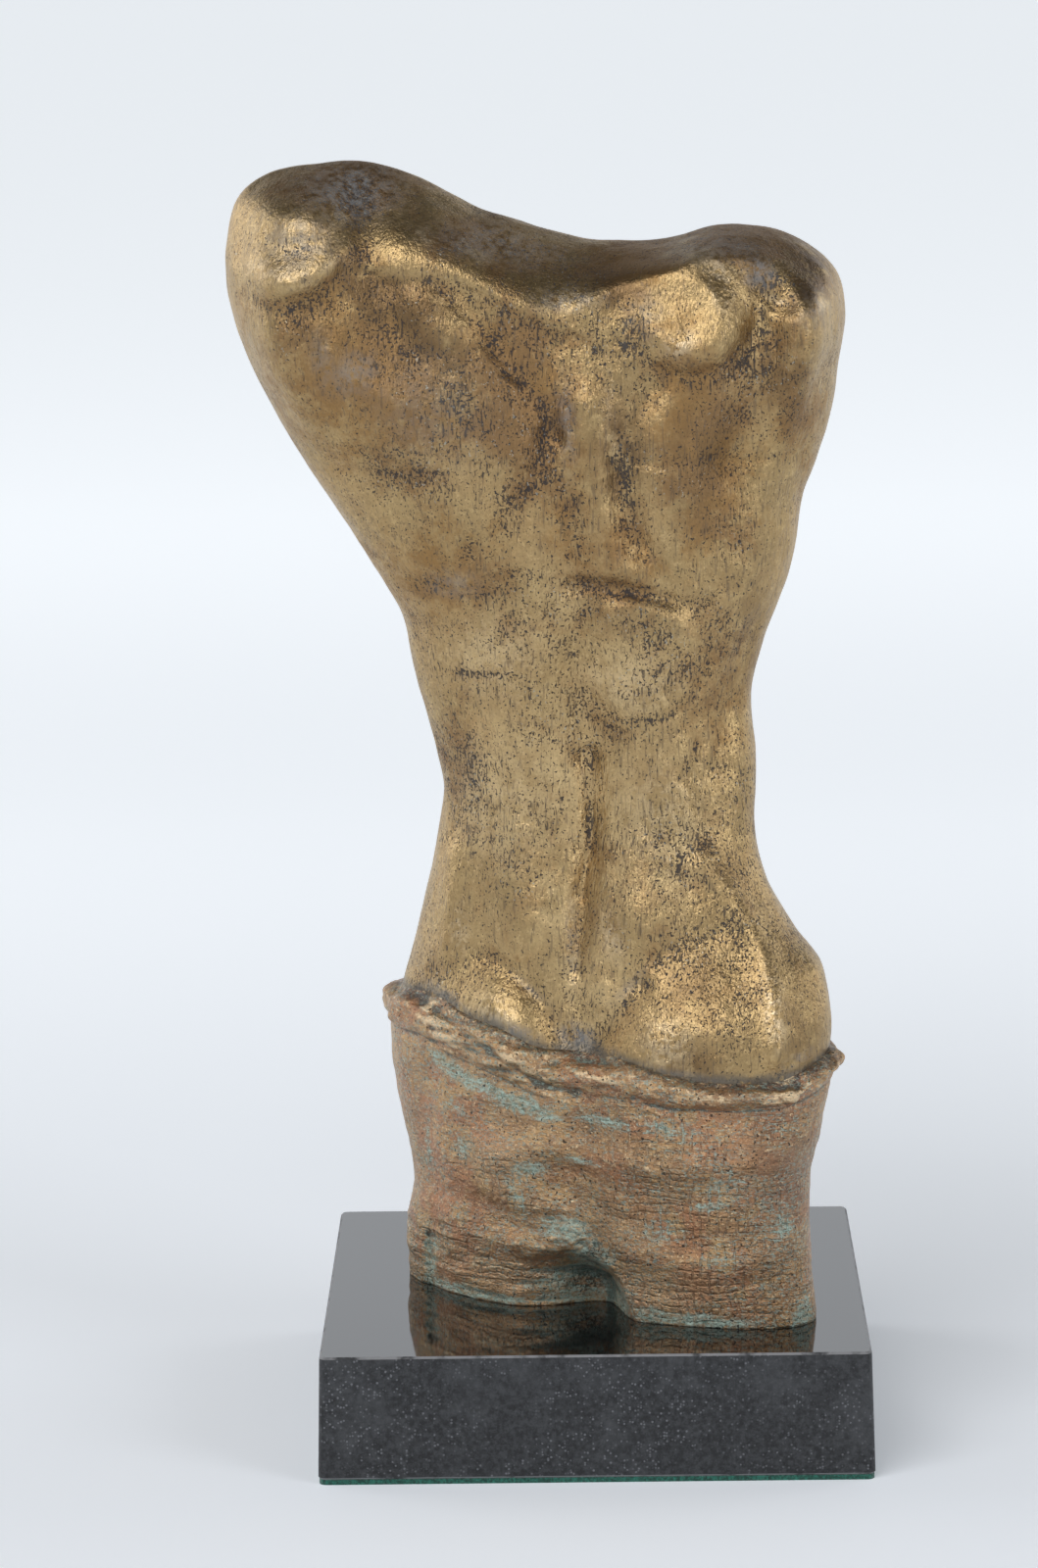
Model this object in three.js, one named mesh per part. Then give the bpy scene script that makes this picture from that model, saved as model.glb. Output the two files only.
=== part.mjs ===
// A small bronze torso without head or arms, its back to the viewer and one shoulder raised, with a rough
// cloth rolled down round the hips. It stands on a black stone plinth that has a felt pad glued under it.
// Millimetres, +Z up. The origin is the middle of the felt's underside, and the figure's back looks along -Y.
import * as THREE from "three";

// Driving sizes
const FELT_THICKNESS = 1.25;
const PLINTH_WIDTH = 130;
const PLINTH_DEPTH = 130;
const PLINTH_HEIGHT = 30;
const PLINTH_CORNER_RADIUS = 1.8;
const PLINTH_ARRIS = 0.5; // small bevel along the stone's edges
const PLINTH_DRAFT = 0.8; // how far each side leans out from top to foot
const FELT_INSET = 0.25;
const TORSO_HEIGHT = 275;
const CLOTH_THICKNESS = 1.5;
const ROLL_DEPTH = 2.2; // how far the rolled hem stands out from the cloth below it

// Mesh fineness
const BACK_COLUMNS = 48;
const FRONT_COLUMNS = 26;
const CLOTH_ROWS = 9;
const ROLL_STEPS = [0.12, 0.32, 0.56, 0.78, 0.94, 1];
const BODY_ROWS = 20;
const CROWN_ROWS = 26;

// Heights that follow from the stack
const PLINTH_FOOT = FELT_THICKNESS;
const TORSO_FOOT = FELT_THICKNESS + PLINTH_HEIGHT;

// The figure's own measures are shares of its height, in hundredths: x from the plinth's middle towards the
// raised shoulder's far side, z up from the plinth's top. SHARE turns a hundredth into millimetres.
const SHARE = TORSO_HEIGHT / 100;

// A smooth line through [t, value] rows, held at its end values.
function curve(rows) {
  const slope = (i) => {
    const before = rows[Math.max(i - 1, 0)];
    const after = rows[Math.min(i + 1, rows.length - 1)];
    return (after[1] - before[1]) / (after[0] - before[0]);
  };
  return (t) => {
    if (t <= rows[0][0]) return rows[0][1];
    if (t >= rows[rows.length - 1][0]) return rows[rows.length - 1][1];
    const i = rows.findIndex((row) => row[0] > t) - 1;
    const span = rows[i + 1][0] - rows[i][0];
    const s = (t - rows[i][0]) / span;
    const bend = s * s * (3 - 2 * s);
    const start = s * (1 - s) * (1 - s) * span * slope(i);
    const end = s * s * (s - 1) * span * slope(i + 1);
    return rows[i][1] * (1 - bend) + rows[i + 1][1] * bend + start + end;
  };
}

const smooth = (low, high, t) => THREE.MathUtils.smoothstep(t, low, high);

// Outline as the viewer sees it: left and right edge by height, up to the chest's centre
const leftEdge = curve([
  [0, -16.1], [5, -16.2], [9, -15.5], [14, -16.3], [19.5, -17.2], [25, -17.1], [31.7, -15.4], [37, -14.1],
  [42.5, -13.0], [45.5, -12.7], [50.5, -13.8], [56, -15.2], [60.5, -16.0], [64, -17.8], [69, -20.9],
  [74.5, -24.3], [80.3, -27.5],
]);
const rightEdge = curve([
  [0, 18.7], [5, 18.4], [12, 18.3], [17.6, 19.4], [22, 20.3], [26.2, 20.8], [29.5, 20.4], [31.2, 19.9],
  [33.5, 18.0], [36, 16.4], [38.4, 15.2], [42, 14.5], [48.5, 14.6], [54, 14.3], [58.6, 15.4], [63.6, 17.4],
  [67, 18.3], [71.2, 19.0], [74.5, 20.3], [79.6, 21.7],
]);

// Above the chest's centre the outline is a radius by angle, from the right edge over both shoulders to the left
const CHEST = { x: -3, z: 74.5 };
const crownEdge = curve([
  [-8.6, 22.1], [0, 23.3], [10, 25.0], [18, 26.4], [25, 28.4], [32, 29.4], [38, 28.9], [44, 27.6], [50, 25.7],
  [54, 24.2], [58, 22.2], [63, 20.7], [70, 19.6], [80, 18.9], [91, 19.6], [98, 20.7], [105, 22.1], [110, 24.2],
  [116, 27.3], [122, 30.2], [128, 32.2], [134, 34.3], [139.4, 34.9], [146, 33.4], [153, 30.9], [160, 27.9],
  [168.5, 24.6], [180, 21.3], [188.4, 19.8],
]);

// The plane that parts back from front: where it lies at the middle, and how far it swings to the viewer's right
const midPlane = curve([[0, -4.4], [20, -4.2], [27, -4.0], [45, -3.0], [60, -2.0], [75, -1.2], [100, -0.5]]);
const swing = curve([[0, -0.44], [20, -0.4], [27, -0.36], [45, -0.2], [60, -0.08], [75, 0], [100, 0]]);
const SWING_CENTRE = 1.5;

// Depth of the back and of the front from that plane, by height
const backDepth = curve([
  [0, 8.0], [10, 9.6], [20, 10.8], [26, 10.6], [34, 9.0], [44, 7.4], [54, 8.4], [64, 10.2], [75, 11.4],
  [85, 11.0], [92, 9.8], [100, 8.4],
]);
const frontDepth = curve([
  [0, 12.4], [10, 12.6], [20, 12.8], [30, 12.7], [38, 12.3], [46, 11.2], [55, 11.4], [64, 12.8], [74, 13.6],
  [85, 12.6], [92, 10.8], [100, 8.6],
]);
const ROUNDNESS = 2.25; // 2 is an ellipse, more is fuller at the sides

// Where the back turns over into the shoulders' flat top, as a share of the outline's radius at that angle
const shoulderBreak = curve([
  [15, 0.86], [40, 0.9], [53, 0.91], [65, 0.88], [77, 0.81], [90, 0.76], [104, 0.75], [123, 0.76], [135, 0.79],
  [146, 0.83], [165, 0.86],
]);

// The cloth's upper edge by the share across, -1 at the left edge and 1 at the right, and its roll's height
const hemBack = curve([
  [-1, 27.0], [-0.85, 27.6], [-0.7, 26.6], [-0.5, 25.6], [-0.29, 24.1], [0, 24.2], [0.12, 23.5], [0.35, 22.7],
  [0.6, 22.4], [0.8, 22.7], [1, 24.0],
]);
const hemFront = curve([[-1, 27.0], [-0.5, 25.2], [0, 23.8], [0.5, 23.2], [1, 24.0]]);
const rollHeight = curve([[-1, 3.6], [-0.6, 4.2], [-0.1, 3.8], [0.35, 2.5], [1, 2.4]]);

// Relief of the back and of the front. Each form is a height over a place [x, z], and the heights add up.
// A ridge follows a line of points: height, width, then the line. A negative height is a groove.
function ridge(height, width, line) {
  const route = new THREE.SplineCurve(line.map(([x, z]) => new THREE.Vector2(x, z))).getPoints(line.length * 4);
  return (x, z) => {
    let nearest = Infinity;
    for (let i = 0; i + 1 < route.length; i++) {
      const ax = route[i].x;
      const az = route[i].y;
      const bx = route[i + 1].x - ax;
      const bz = route[i + 1].y - az;
      const along = Math.min(1, Math.max(0, ((x - ax) * bx + (z - az) * bz) / (bx * bx + bz * bz)));
      nearest = Math.min(nearest, (x - ax - along * bx) ** 2 + (z - az - along * bz) ** 2);
    }
    return height * Math.exp(-nearest / (width * width));
  };
}

// A pad is an oval mound: height, centre, half length, half width and its turn in degrees. core is the share
// of it that is flat, so a large core gives a crisp edge. tilt makes it a facet, higher at the end it is
// turned to.
function pad(height, [x0, z0], [halfLength, halfWidth], turn = 0, core = 0, tilt = 0) {
  const c = Math.cos(THREE.MathUtils.degToRad(turn));
  const s = Math.sin(THREE.MathUtils.degToRad(turn));
  return (x, z) => {
    const along = ((x - x0) * c + (z - z0) * s) / halfLength;
    const across = ((z - z0) * c - (x - x0) * s) / halfWidth;
    return height * (1 + tilt * along) * (1 - smooth(core, 1, Math.hypot(along, across)));
  };
}

const backForms = [
  // Spine, shallow between the shoulder blades and deeper in the small of the back
  ridge(-0.6, 2.0, [[-2.4, 90], [-2.9, 83], [-2.7, 78.6], [-1.9, 73], [-0.6, 62], [0, 50]]),
  ridge(-0.7, 1.1, [[0.1, 49], [0.3, 44], [-0.3, 39.8], [-0.9, 36], [-1.3, 31]]),
  ridge(-1.0, 3.2, [[0, 58], [0, 46], [-0.6, 36], [-1.3, 27]]),
  // Columns of muscle beside it
  ridge(0.6, 3.0, [[-6.7, 53], [-6.4, 43], [-6.1, 35]]),
  ridge(0.7, 2.6, [[5.1, 51], [5, 43.3], [4.5, 36.6]]),
  // Raised shoulder: blade, the edge where the back turns over the top, the arm's ball and the furrow between
  pad(0.8, [-11, 79], [12, 6.6], -50, 0.5, 0.2),
  ridge(0.4, 2.2, [[-15.5, 93.6], [-12.8, 93.3], [-9.9, 92.2], [-7, 90.4], [-4.1, 88.8], [-1.6, 88.6]]),
  pad(0.9, [-24.6, 93.4], [4.8, 5.4], -90, 0.5, 0.8),
  ridge(-1.0, 1.9, [[-19.5, 97.5], [-18.2, 94.5], [-17.4, 91.5], [-16.4, 88.5], [-14.5, 85.5]]),
  ridge(-0.5, 1.6, [[-11, 88.6], [-8.5, 86.4], [-5.4, 82.4], [-3.2, 78.2]]),
  ridge(-0.6, 1.5, [[-3.2, 76.9], [-4.9, 72.8], [-7.1, 69], [-9.5, 67.7]]),
  // Lower shoulder: the edge over the top, the blade's facet, its furrow and the long muscle to the flank
  ridge(0.3, 2.0, [[0.5, 89.6], [4.7, 91], [8, 92], [10.9, 92.8]]),
  pad(1.1, [8.6, 87.8], [6.4, 5], -38, 0.5, 0.8),
  ridge(-0.8, 1.5, [[5.4, 81.4], [3.9, 77.7], [3.4, 74.3], [3.8, 71], [4.6, 68.1]]),
  ridge(0.5, 1.5, [[0.4, 80], [0.7, 74.4], [1.3, 70.2], [2.3, 66.4]]),
  ridge(-1.0, 2.0, [[15.9, 88], [15.2, 84], [13.9, 79], [12.4, 75]]),
  ridge(0.6, 2.0, [[18.4, 86], [18.2, 82], [17.2, 77], [15.5, 71.5], [13.6, 66]]),
  pad(0.7, [8.2, 73], [4.4, 7.5], -8, 0.1),
  pad(-0.8, [17.6, 91], [3.6, 2.8], -30, 0.2),
  // Steps where muscles end, and the fold of the right flank
  pad(0.6, [4.5, 58.4], [6.2, 6.0], 0, 0.7),
  ridge(-0.5, 0.8, [[-1.1, 64.4], [1, 64.7], [3.9, 64.1], [7.7, 63.1], [10.6, 62.9]]),
  ridge(-0.3, 0.7, [[-12.5, 56.7], [-8.3, 56.3], [-3.3, 56.9]]),
  ridge(-0.35, 1.2, [[-14.1, 64.4], [-9.9, 63.5], [-5.7, 65.2]]),
  ridge(-0.6, 1.3, [[14.5, 60.1], [13.3, 56.8], [11.9, 52.7], [11.3, 48.5]]),
  // Hips: the two dimple lines of the sacrum, the buttocks, the crest of each hip bone
  ridge(-0.7, 0.9, [[-8.7, 31.4], [-6.2, 29.9], [-4.1, 27.4], [-2.4, 24.9]]),
  ridge(-0.8, 0.9, [[11.9, 33.5], [8.2, 32.4], [4.8, 30.6], [2.3, 27.4], [0.1, 24.5]]),
  pad(1.3, [-8.8, 26], [6.6, 5.2], -20, 0.2),
  pad(1.5, [8.6, 25.4], [8.6, 7], 0, 0.2),
  ridge(0.7, 1.3, [[10.1, 40.2], [12, 38.2], [13.9, 35.3], [15.3, 32.1], [16, 28.9], [16, 25]]),
  ridge(0.5, 1.1, [[-11.8, 40], [-12.8, 35.3], [-13.4, 30.6]]),
  // Cloth: the dip between the thighs, the long horizontal folds and the lapped edge on the left
  ridge(-1.0, 2.4, [[-0.4, 17], [-1.3, 13], [-1.4, 9.5], [-0.2, 6], [0.6, 0]]),
  ridge(0.6, 1.5, [[-9, 13.6], [-4.7, 15.2], [-0.4, 15.1], [4.6, 14.7], [9.6, 14.9], [14.6, 15.8], [18.7, 17.5]]),
  ridge(0.4, 1.3, [[-14.1, 13], [-10.7, 11.2], [-5.6, 10.2], [-2.5, 9.6]]),
  ridge(0.5, 1.3, [[-14.2, 7.9], [-9.1, 5.9], [-5.9, 6.2], [-2, 7.4]]),
  ridge(0.5, 1.6, [[3.7, 6.5], [9.5, 5.4], [15.3, 6.9], [18.6, 8.5]]),
  ridge(-0.5, 0.8, [[-15.4, 20], [-15.5, 14], [-15.2, 8], [-15.2, -1]]),
];

const frontForms = [
  pad(1.5, [-10.5, 76.5], [10.5, 9], 15),
  pad(1.4, [7.2, 75], [9.5, 8.5], -8),
  ridge(-0.6, 1.4, [[-2.4, 88], [-1.6, 78], [-1.2, 70]]),
  ridge(-0.6, 1.6, [[-12.5, 58], [-7, 63.5], [-1, 67], [5, 63], [11, 57]]),
  ridge(-0.4, 1.2, [[-1, 66], [0, 56], [0.6, 46]]),
  pad(0.9, [0.8, 36], [9.5, 7.5], 0, 0.1),
  pad(-1.1, [0.7, 41.5], [1.5, 1.7]),
  ridge(-0.6, 1.5, [[-13.5, 38], [-10, 32], [-5.5, 27.5]]),
  ridge(-0.6, 1.5, [[15.5, 36], [11.5, 30], [6.5, 25]]),
  pad(-0.9, [-14, 86], [5, 3], 30, 0.1),
  ridge(0.8, 1.6, [[-13.5, 92.5], [-8, 90], [-2, 88.6], [5, 90], [11, 91]]),
  // Cloth: hanging folds between the thighs
  ridge(0.6, 1.6, [[-12, 16], [-5, 12.5], [1.5, 11.5], [9, 12.5], [15, 16]]),
  ridge(0.5, 1.5, [[-10, 10], [-4, 7], [2, 6], [9, 7], [14, 10]]),
  ridge(-0.9, 2.2, [[1, 14], [1.4, 7], [1.6, 0]]),
];

// The scoop under the cloth's lower edge, between the thighs: deepest beside the right thigh's steep wall
const SCOOP = { left: -8.2, deepest: 1.3, wall: 3.6, depth: 4.4, height: 5.2, crown: -2.6, reach: 5.8 };
function scoop(x, z) {
  const rise = SCOOP.height * Math.sqrt(Math.max(0, 1 - ((x - SCOOP.crown) / SCOOP.reach) ** 2));
  const low = 1 - smooth(0.55, 1.25, z / Math.max(rise, 0.4));
  const slope = smooth(SCOOP.left, SCOOP.deepest, x) * (1 - smooth(SCOOP.deepest, SCOOP.wall, x));
  return SCOOP.depth * slope * low;
}

const total = (forms, x, z) => forms.reduce((sum, form) => sum + form(x, z), 0);

// How far the cloth stands off the body at a drop below its upper edge: its thickness, and the roll at the top
function clothOffset(drop, roll) {
  if (drop <= 0) return 0;
  const share = Math.min(1, drop / roll);
  const bulge = Math.sin(Math.PI * share ** 0.85) ** 0.8;
  return (CLOTH_THICKNESS / SHARE) * smooth(0, 0.3, share) + (ROLL_DEPTH / SHARE) * bulge;
}

// A point of the skin: from the share out towards back (-) or front (+), its place across and its height, and
// how far the cloth stands off there
function skinPoint(out, x, z, offset) {
  const back = out < 0;
  const depth = (back ? backDepth(z) : frontDepth(z)) + offset;
  let y = midPlane(z) + swing(z) * (x - SWING_CENTRE) + out * depth;
  const facing = smooth(0.05, 0.6, Math.abs(out));
  y += facing * (back ? scoop(x, z) - total(backForms, x, z) : total(frontForms, x, z));
  return new THREE.Vector3(x * SHARE, y * SHARE, z * SHARE + TORSO_FOOT);
}

// How far out from the middle plane the skin is, as a share of the depth, at a share of the way to the edge
const fullness = (spread) => (1 - Math.min(1, spread) ** ROUNDNESS) ** (1 / ROUNDNESS);

// The same on the upper back, which stays upright as far as the shoulders' edge and then slopes over them
function shoulderFullness(spread, angle) {
  const turn = shoulderBreak(angle);
  const upright = 1 - 0.1 * spread * spread;
  const slope = 0.95 * (Math.max(0, 1 - spread * spread) / (1 - turn * turn)) ** 0.65;
  const blend = Math.max(0, 0.16 - Math.abs(upright - slope));
  return Math.min(upright, slope) - 1.6 * blend * blend;
}

// Round the body: cosine across and sine out, with more columns on the back than on the front
function columnAngles() {
  const angles = [];
  for (let i = 0; i < FRONT_COLUMNS; i++) angles.push((Math.PI * i) / FRONT_COLUMNS);
  for (let i = 0; i < BACK_COLUMNS; i++) angles.push(Math.PI + (Math.PI * i) / BACK_COLUMNS);
  return angles;
}

// Up to the chest's centre each row is a loop at one height, or one height above or below the cloth's edge
function trunkRow(angles, heightAt) {
  return angles.map((angle) => {
    const across = Math.cos(angle);
    const side = Math.sin(angle);
    const hem = side < 0 ? hemBack(across) : hemFront(across);
    const roll = rollHeight(across);
    const z = heightAt(hem, roll);
    const offset = clothOffset(hem - z, roll);
    const middle = (leftEdge(z) + rightEdge(z)) / 2;
    const half = (rightEdge(z) - leftEdge(z)) / 2 + offset;
    return skinPoint(Math.sign(side) * fullness(Math.abs(across)), middle + across * half, z, offset);
  });
}

// Above it each row is a cone about the chest's centre, closing on the dip between the shoulders
function crownRow(angles, lean) {
  return angles.map((angle) => {
    const right = Math.sin(lean) * Math.cos(angle);
    const up = Math.cos(lean);
    const spread = Math.hypot(right, up);
    const outlineAngle = THREE.MathUtils.radToDeg(Math.atan2(up, right));
    const reach = crownEdge(outlineAngle);
    const x = CHEST.x + reach * right;
    const z = CHEST.z + reach * up;
    const side = Math.sin(angle);
    if (side > 0) return skinPoint(fullness(spread), x, z, 0);
    const high = smooth(0, 0.5, up / spread);
    const out = (1 - high) * fullness(spread) + high * shoulderFullness(spread, outlineAngle);
    return skinPoint(-out, x, z, 0);
  });
}

function torsoRows() {
  const angles = columnAngles();
  const rows = [];
  for (let i = 0; i <= CLOTH_ROWS; i++) {
    rows.push(trunkRow(angles, (hem, roll) => ((hem - roll) * i) / CLOTH_ROWS));
  }
  for (const step of ROLL_STEPS) {
    rows.push(trunkRow(angles, (hem, roll) => hem - roll * (1 - step)));
  }
  for (let i = 1; i <= BODY_ROWS; i++) {
    rows.push(trunkRow(angles, (hem) => hem + (CHEST.z - hem) * (i / BODY_ROWS) ** 1.1));
  }
  for (let i = 1; i < CROWN_ROWS; i++) {
    rows.push(crownRow(angles, (Math.PI / 2) * (1 - i / CROWN_ROWS)));
  }
  return rows;
}

// Closes the rows into one skin, with a flat foot and a point at the top
function torsoGeometry() {
  const rows = torsoRows();
  const columns = rows[0].length;
  const top = skinPoint(0, CHEST.x, CHEST.z + crownEdge(90), 0);
  const foot = rows[0].reduce((sum, p) => sum.add(p), new THREE.Vector3()).divideScalar(columns);
  const points = [...rows.flat(), top, foot];
  const at = (row, column) => row * columns + (column % columns);
  const faces = [];
  for (let r = 0; r + 1 < rows.length; r++) {
    for (let c = 0; c < columns; c++) {
      const [a, b, d, e] = [at(r, c), at(r, c + 1), at(r + 1, c + 1), at(r + 1, c)];
      const split = points[a].distanceTo(points[d]) < points[b].distanceTo(points[e]);
      if (split) faces.push(a, b, d, a, d, e);
      else faces.push(a, b, e, b, d, e);
    }
  }
  for (let c = 0; c < columns; c++) {
    faces.push(at(rows.length - 1, c), at(rows.length - 1, c + 1), points.length - 2);
    faces.push(at(0, c + 1), at(0, c), points.length - 1);
  }
  const geometry = new THREE.BufferGeometry().setFromPoints(points);
  geometry.setIndex(faces);
  geometry.computeVertexNormals();
  return geometry;
}

function roundedRectangle(width, depth, radius) {
  const shape = new THREE.Shape();
  const x = width / 2;
  const y = depth / 2;
  shape.moveTo(-x + radius, -y);
  shape.lineTo(x - radius, -y);
  shape.absarc(x - radius, -y + radius, radius, -Math.PI / 2, 0);
  shape.lineTo(x, y - radius);
  shape.absarc(x - radius, y - radius, radius, 0, Math.PI / 2);
  shape.lineTo(-x + radius, y);
  shape.absarc(-x + radius, y - radius, radius, Math.PI / 2, Math.PI);
  shape.lineTo(-x, -y + radius);
  shape.absarc(-x + radius, -y + radius, radius, Math.PI, Math.PI * 1.5);
  return shape;
}

// The stone: bevelled edges all round, and sides that lean out a little towards the foot
function plinthGeometry() {
  const shape = roundedRectangle(
    PLINTH_WIDTH - 2 * PLINTH_ARRIS,
    PLINTH_DEPTH - 2 * PLINTH_ARRIS,
    PLINTH_CORNER_RADIUS - PLINTH_ARRIS,
  );
  const geometry = new THREE.ExtrudeGeometry(shape, {
    depth: PLINTH_HEIGHT - 2 * PLINTH_ARRIS,
    bevelEnabled: true,
    bevelSize: PLINTH_ARRIS,
    bevelThickness: PLINTH_ARRIS,
    bevelSegments: 1,
    curveSegments: 4,
  });
  geometry.translate(0, 0, PLINTH_ARRIS);
  const position = geometry.getAttribute("position");
  for (let i = 0; i < position.count; i++) {
    const lean = PLINTH_DRAFT * (1 - position.getZ(i) / PLINTH_HEIGHT);
    position.setX(i, position.getX(i) * (1 + (2 * lean) / PLINTH_WIDTH));
  }
  return geometry;
}

function feltGeometry() {
  const width = PLINTH_WIDTH + 2 * PLINTH_DRAFT - 2 * FELT_INSET;
  const shape = roundedRectangle(width, PLINTH_DEPTH - 2 * FELT_INSET, PLINTH_CORNER_RADIUS);
  return new THREE.ExtrudeGeometry(shape, { depth: FELT_THICKNESS, bevelEnabled: false, curveSegments: 4 });
}

function part(name, geometry, material, height) {
  const mesh = new THREE.Mesh(geometry, material);
  mesh.name = name;
  mesh.position.z = height;
  return mesh;
}

const bronze = new THREE.MeshStandardMaterial({ color: 0x8a6a38, roughness: 0.42, metalness: 1 });
const stone = new THREE.MeshStandardMaterial({ color: 0x1c1d1f, roughness: 0.25, metalness: 0 });
const felt = new THREE.MeshStandardMaterial({ color: 0x0d5a40, roughness: 1, metalness: 0 });

const bust = new THREE.Group();
bust.add(part("felt_pad", feltGeometry(), felt, 0));
bust.add(part("plinth", plinthGeometry(), stone, PLINTH_FOOT));
bust.add(part("bronze_torso", torsoGeometry(), bronze, 0));

export default bust;
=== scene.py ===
"""A small bronze torso on a black stone plinth, seen from behind, as in the photograph.

The bronze is drawn as two fine skins, the body and the cloth rolled down round its hips, that stand for the
one casting in the frame. Form tables and spots are in hundredths of the torso's height, across from the axis and
up from its foot. Named sizes, noise and shifts are in millimetres. Camera, lights and materials are in metres.
"""
import math

import bpy
import numpy as np
from mathutils import Matrix, Vector

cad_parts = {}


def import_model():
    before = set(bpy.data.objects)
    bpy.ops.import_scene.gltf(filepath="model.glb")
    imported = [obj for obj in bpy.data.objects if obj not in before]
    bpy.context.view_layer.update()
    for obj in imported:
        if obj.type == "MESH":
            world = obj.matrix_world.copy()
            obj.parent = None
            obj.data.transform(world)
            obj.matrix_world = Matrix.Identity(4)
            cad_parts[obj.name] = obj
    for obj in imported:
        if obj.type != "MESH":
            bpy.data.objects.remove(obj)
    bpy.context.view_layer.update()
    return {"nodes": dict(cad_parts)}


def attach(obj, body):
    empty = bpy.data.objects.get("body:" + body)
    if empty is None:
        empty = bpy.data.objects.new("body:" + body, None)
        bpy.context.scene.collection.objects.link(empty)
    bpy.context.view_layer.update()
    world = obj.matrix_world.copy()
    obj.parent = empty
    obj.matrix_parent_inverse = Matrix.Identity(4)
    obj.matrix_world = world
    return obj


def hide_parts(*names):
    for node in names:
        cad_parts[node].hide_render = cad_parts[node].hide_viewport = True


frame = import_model()

# The same sizes as the solids, in millimetres
MM = 0.001
TORSO_FOOT = 31.25
TORSO_HEIGHT = 275.0
SHARE = TORSO_HEIGHT / 100
CLOTH_THICKNESS = 1.5
ROLL_DEPTH = 2.2
THREAD_GAP_ROUND, THREAD_GAP_UP = 2.1, 1.9


def smooth(low, high, t):
    """0 below low, 1 above high, smooth between; low may be the larger."""
    s = np.clip((t - low) / (high - low), 0, 1)
    return s * s * (3 - 2 * s)


def curve(rows):
    """A smooth line through (t, value) rows, held at its end values."""
    t, v = np.array(rows, float).T
    slope = np.gradient(v, t)
    slope[1:-1] = (v[2:] - v[:-2]) / (t[2:] - t[:-2])

    def at(x):
        x = np.clip(x, t[0], t[-1])
        i = np.clip(np.searchsorted(t, x, side="right") - 1, 0, len(t) - 2)
        span = t[i + 1] - t[i]
        s = (x - t[i]) / span
        bend = s * s * (3 - 2 * s)
        start = s * (1 - s) ** 2 * span * slope[i]
        end = s * s * (s - 1) * span * slope[i + 1]
        return v[i] * (1 - bend) + v[i + 1] * bend + start + end

    return at


# Outline from behind: the edges by height, and over the shoulders a radius by angle about the chest's centre
left_edge = curve([
    (0, -16.1), (5, -16.2), (9, -15.5), (14, -16.3), (19.5, -17.2), (25, -17.1), (31.7, -15.4), (37, -14.1),
    (42.5, -13.0), (45.5, -12.7), (50.5, -13.8), (56, -15.2), (60.5, -16.0), (64, -17.8), (69, -20.9),
    (74.5, -24.3), (80.3, -27.5),
])
right_edge = curve([
    (0, 18.7), (5, 18.4), (12, 18.3), (17.6, 19.4), (22, 20.3), (26.2, 20.8), (29.5, 20.4), (31.2, 19.9),
    (33.5, 18.0), (36, 16.4), (38.4, 15.2), (42, 14.5), (48.5, 14.6), (54, 14.3), (58.6, 15.4), (63.6, 17.4),
    (67, 18.3), (71.2, 19.0), (74.5, 20.3), (79.6, 21.7),
])
CHEST_X, CHEST_Z = -3.0, 74.5
crown_edge = curve([
    (-8.6, 22.1), (0, 23.3), (10, 25.0), (18, 26.4), (25, 28.4), (32, 29.4), (38, 28.9), (44, 27.6), (50, 25.7),
    (54, 24.2), (58, 22.2), (63, 20.7), (70, 19.6), (80, 18.9), (91, 19.6), (98, 20.7), (105, 22.1),
    (110, 24.2), (116, 27.3), (122, 30.2), (128, 32.2), (134, 34.3), (139.4, 34.9), (146, 33.4), (153, 30.9),
    (160, 27.9), (168.5, 24.6), (180, 21.3), (188.4, 19.8),
])
shoulder_break = curve([
    (15, 0.86), (40, 0.9), (53, 0.91), (65, 0.88), (77, 0.81), (90, 0.76), (104, 0.75), (123, 0.76),
    (135, 0.79), (146, 0.83), (165, 0.86),
])

# The plane that parts back from front, and the depth each way from it
mid_plane = curve([(0, -4.4), (20, -4.2), (27, -4.0), (45, -3.0), (60, -2.0), (75, -1.2), (100, -0.5)])
swing = curve([(0, -0.44), (20, -0.4), (27, -0.36), (45, -0.2), (60, -0.08), (75, 0), (100, 0)])
SWING_CENTRE = 1.5
back_depth = curve([
    (0, 8.0), (10, 9.6), (20, 10.8), (26, 10.6), (34, 9.0), (44, 7.4), (54, 8.4), (64, 10.2), (75, 11.4),
    (85, 11.0), (92, 9.8), (100, 8.4),
])
front_depth = curve([
    (0, 12.4), (10, 12.6), (20, 12.8), (30, 12.7), (38, 12.3), (46, 11.2), (55, 11.4), (64, 12.8),
    (74, 13.6), (85, 12.6), (92, 10.8), (100, 8.6),
])
ROUNDNESS = 2.25

# The cloth's upper edge by the share across, and its roll's height
hem_back = curve([
    (-1, 27.0), (-0.85, 27.6), (-0.7, 26.6), (-0.5, 25.6), (-0.29, 24.1), (0, 24.2), (0.12, 23.5),
    (0.35, 22.7), (0.6, 22.4), (0.8, 22.7), (1, 24.0),
])
hem_front = curve([(-1, 27.0), (-0.5, 25.2), (0, 23.8), (0.5, 23.2), (1, 24.0)])
roll_height = curve([(-1, 3.6), (-0.6, 4.2), (-0.1, 3.8), (0.35, 2.5), (1, 2.4)])


def spline(line, per=6):
    """Points along a smooth line through the given ones."""
    p = np.array(line, float)
    p = np.vstack([p[0], p, p[-1]])
    t = np.linspace(0, 1, per, endpoint=False)[:, None]
    out = []
    for a, b, c, d in zip(p[:-3], p[1:-2], p[2:-1], p[3:]):
        out.append(0.5 * (2 * b + (c - a) * t + (2 * a - 5 * b + 4 * c - d) * t**2 + (3 * b - a - 3 * c + d) * t**3))
    return np.vstack(out + [p[-1:]])


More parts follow.
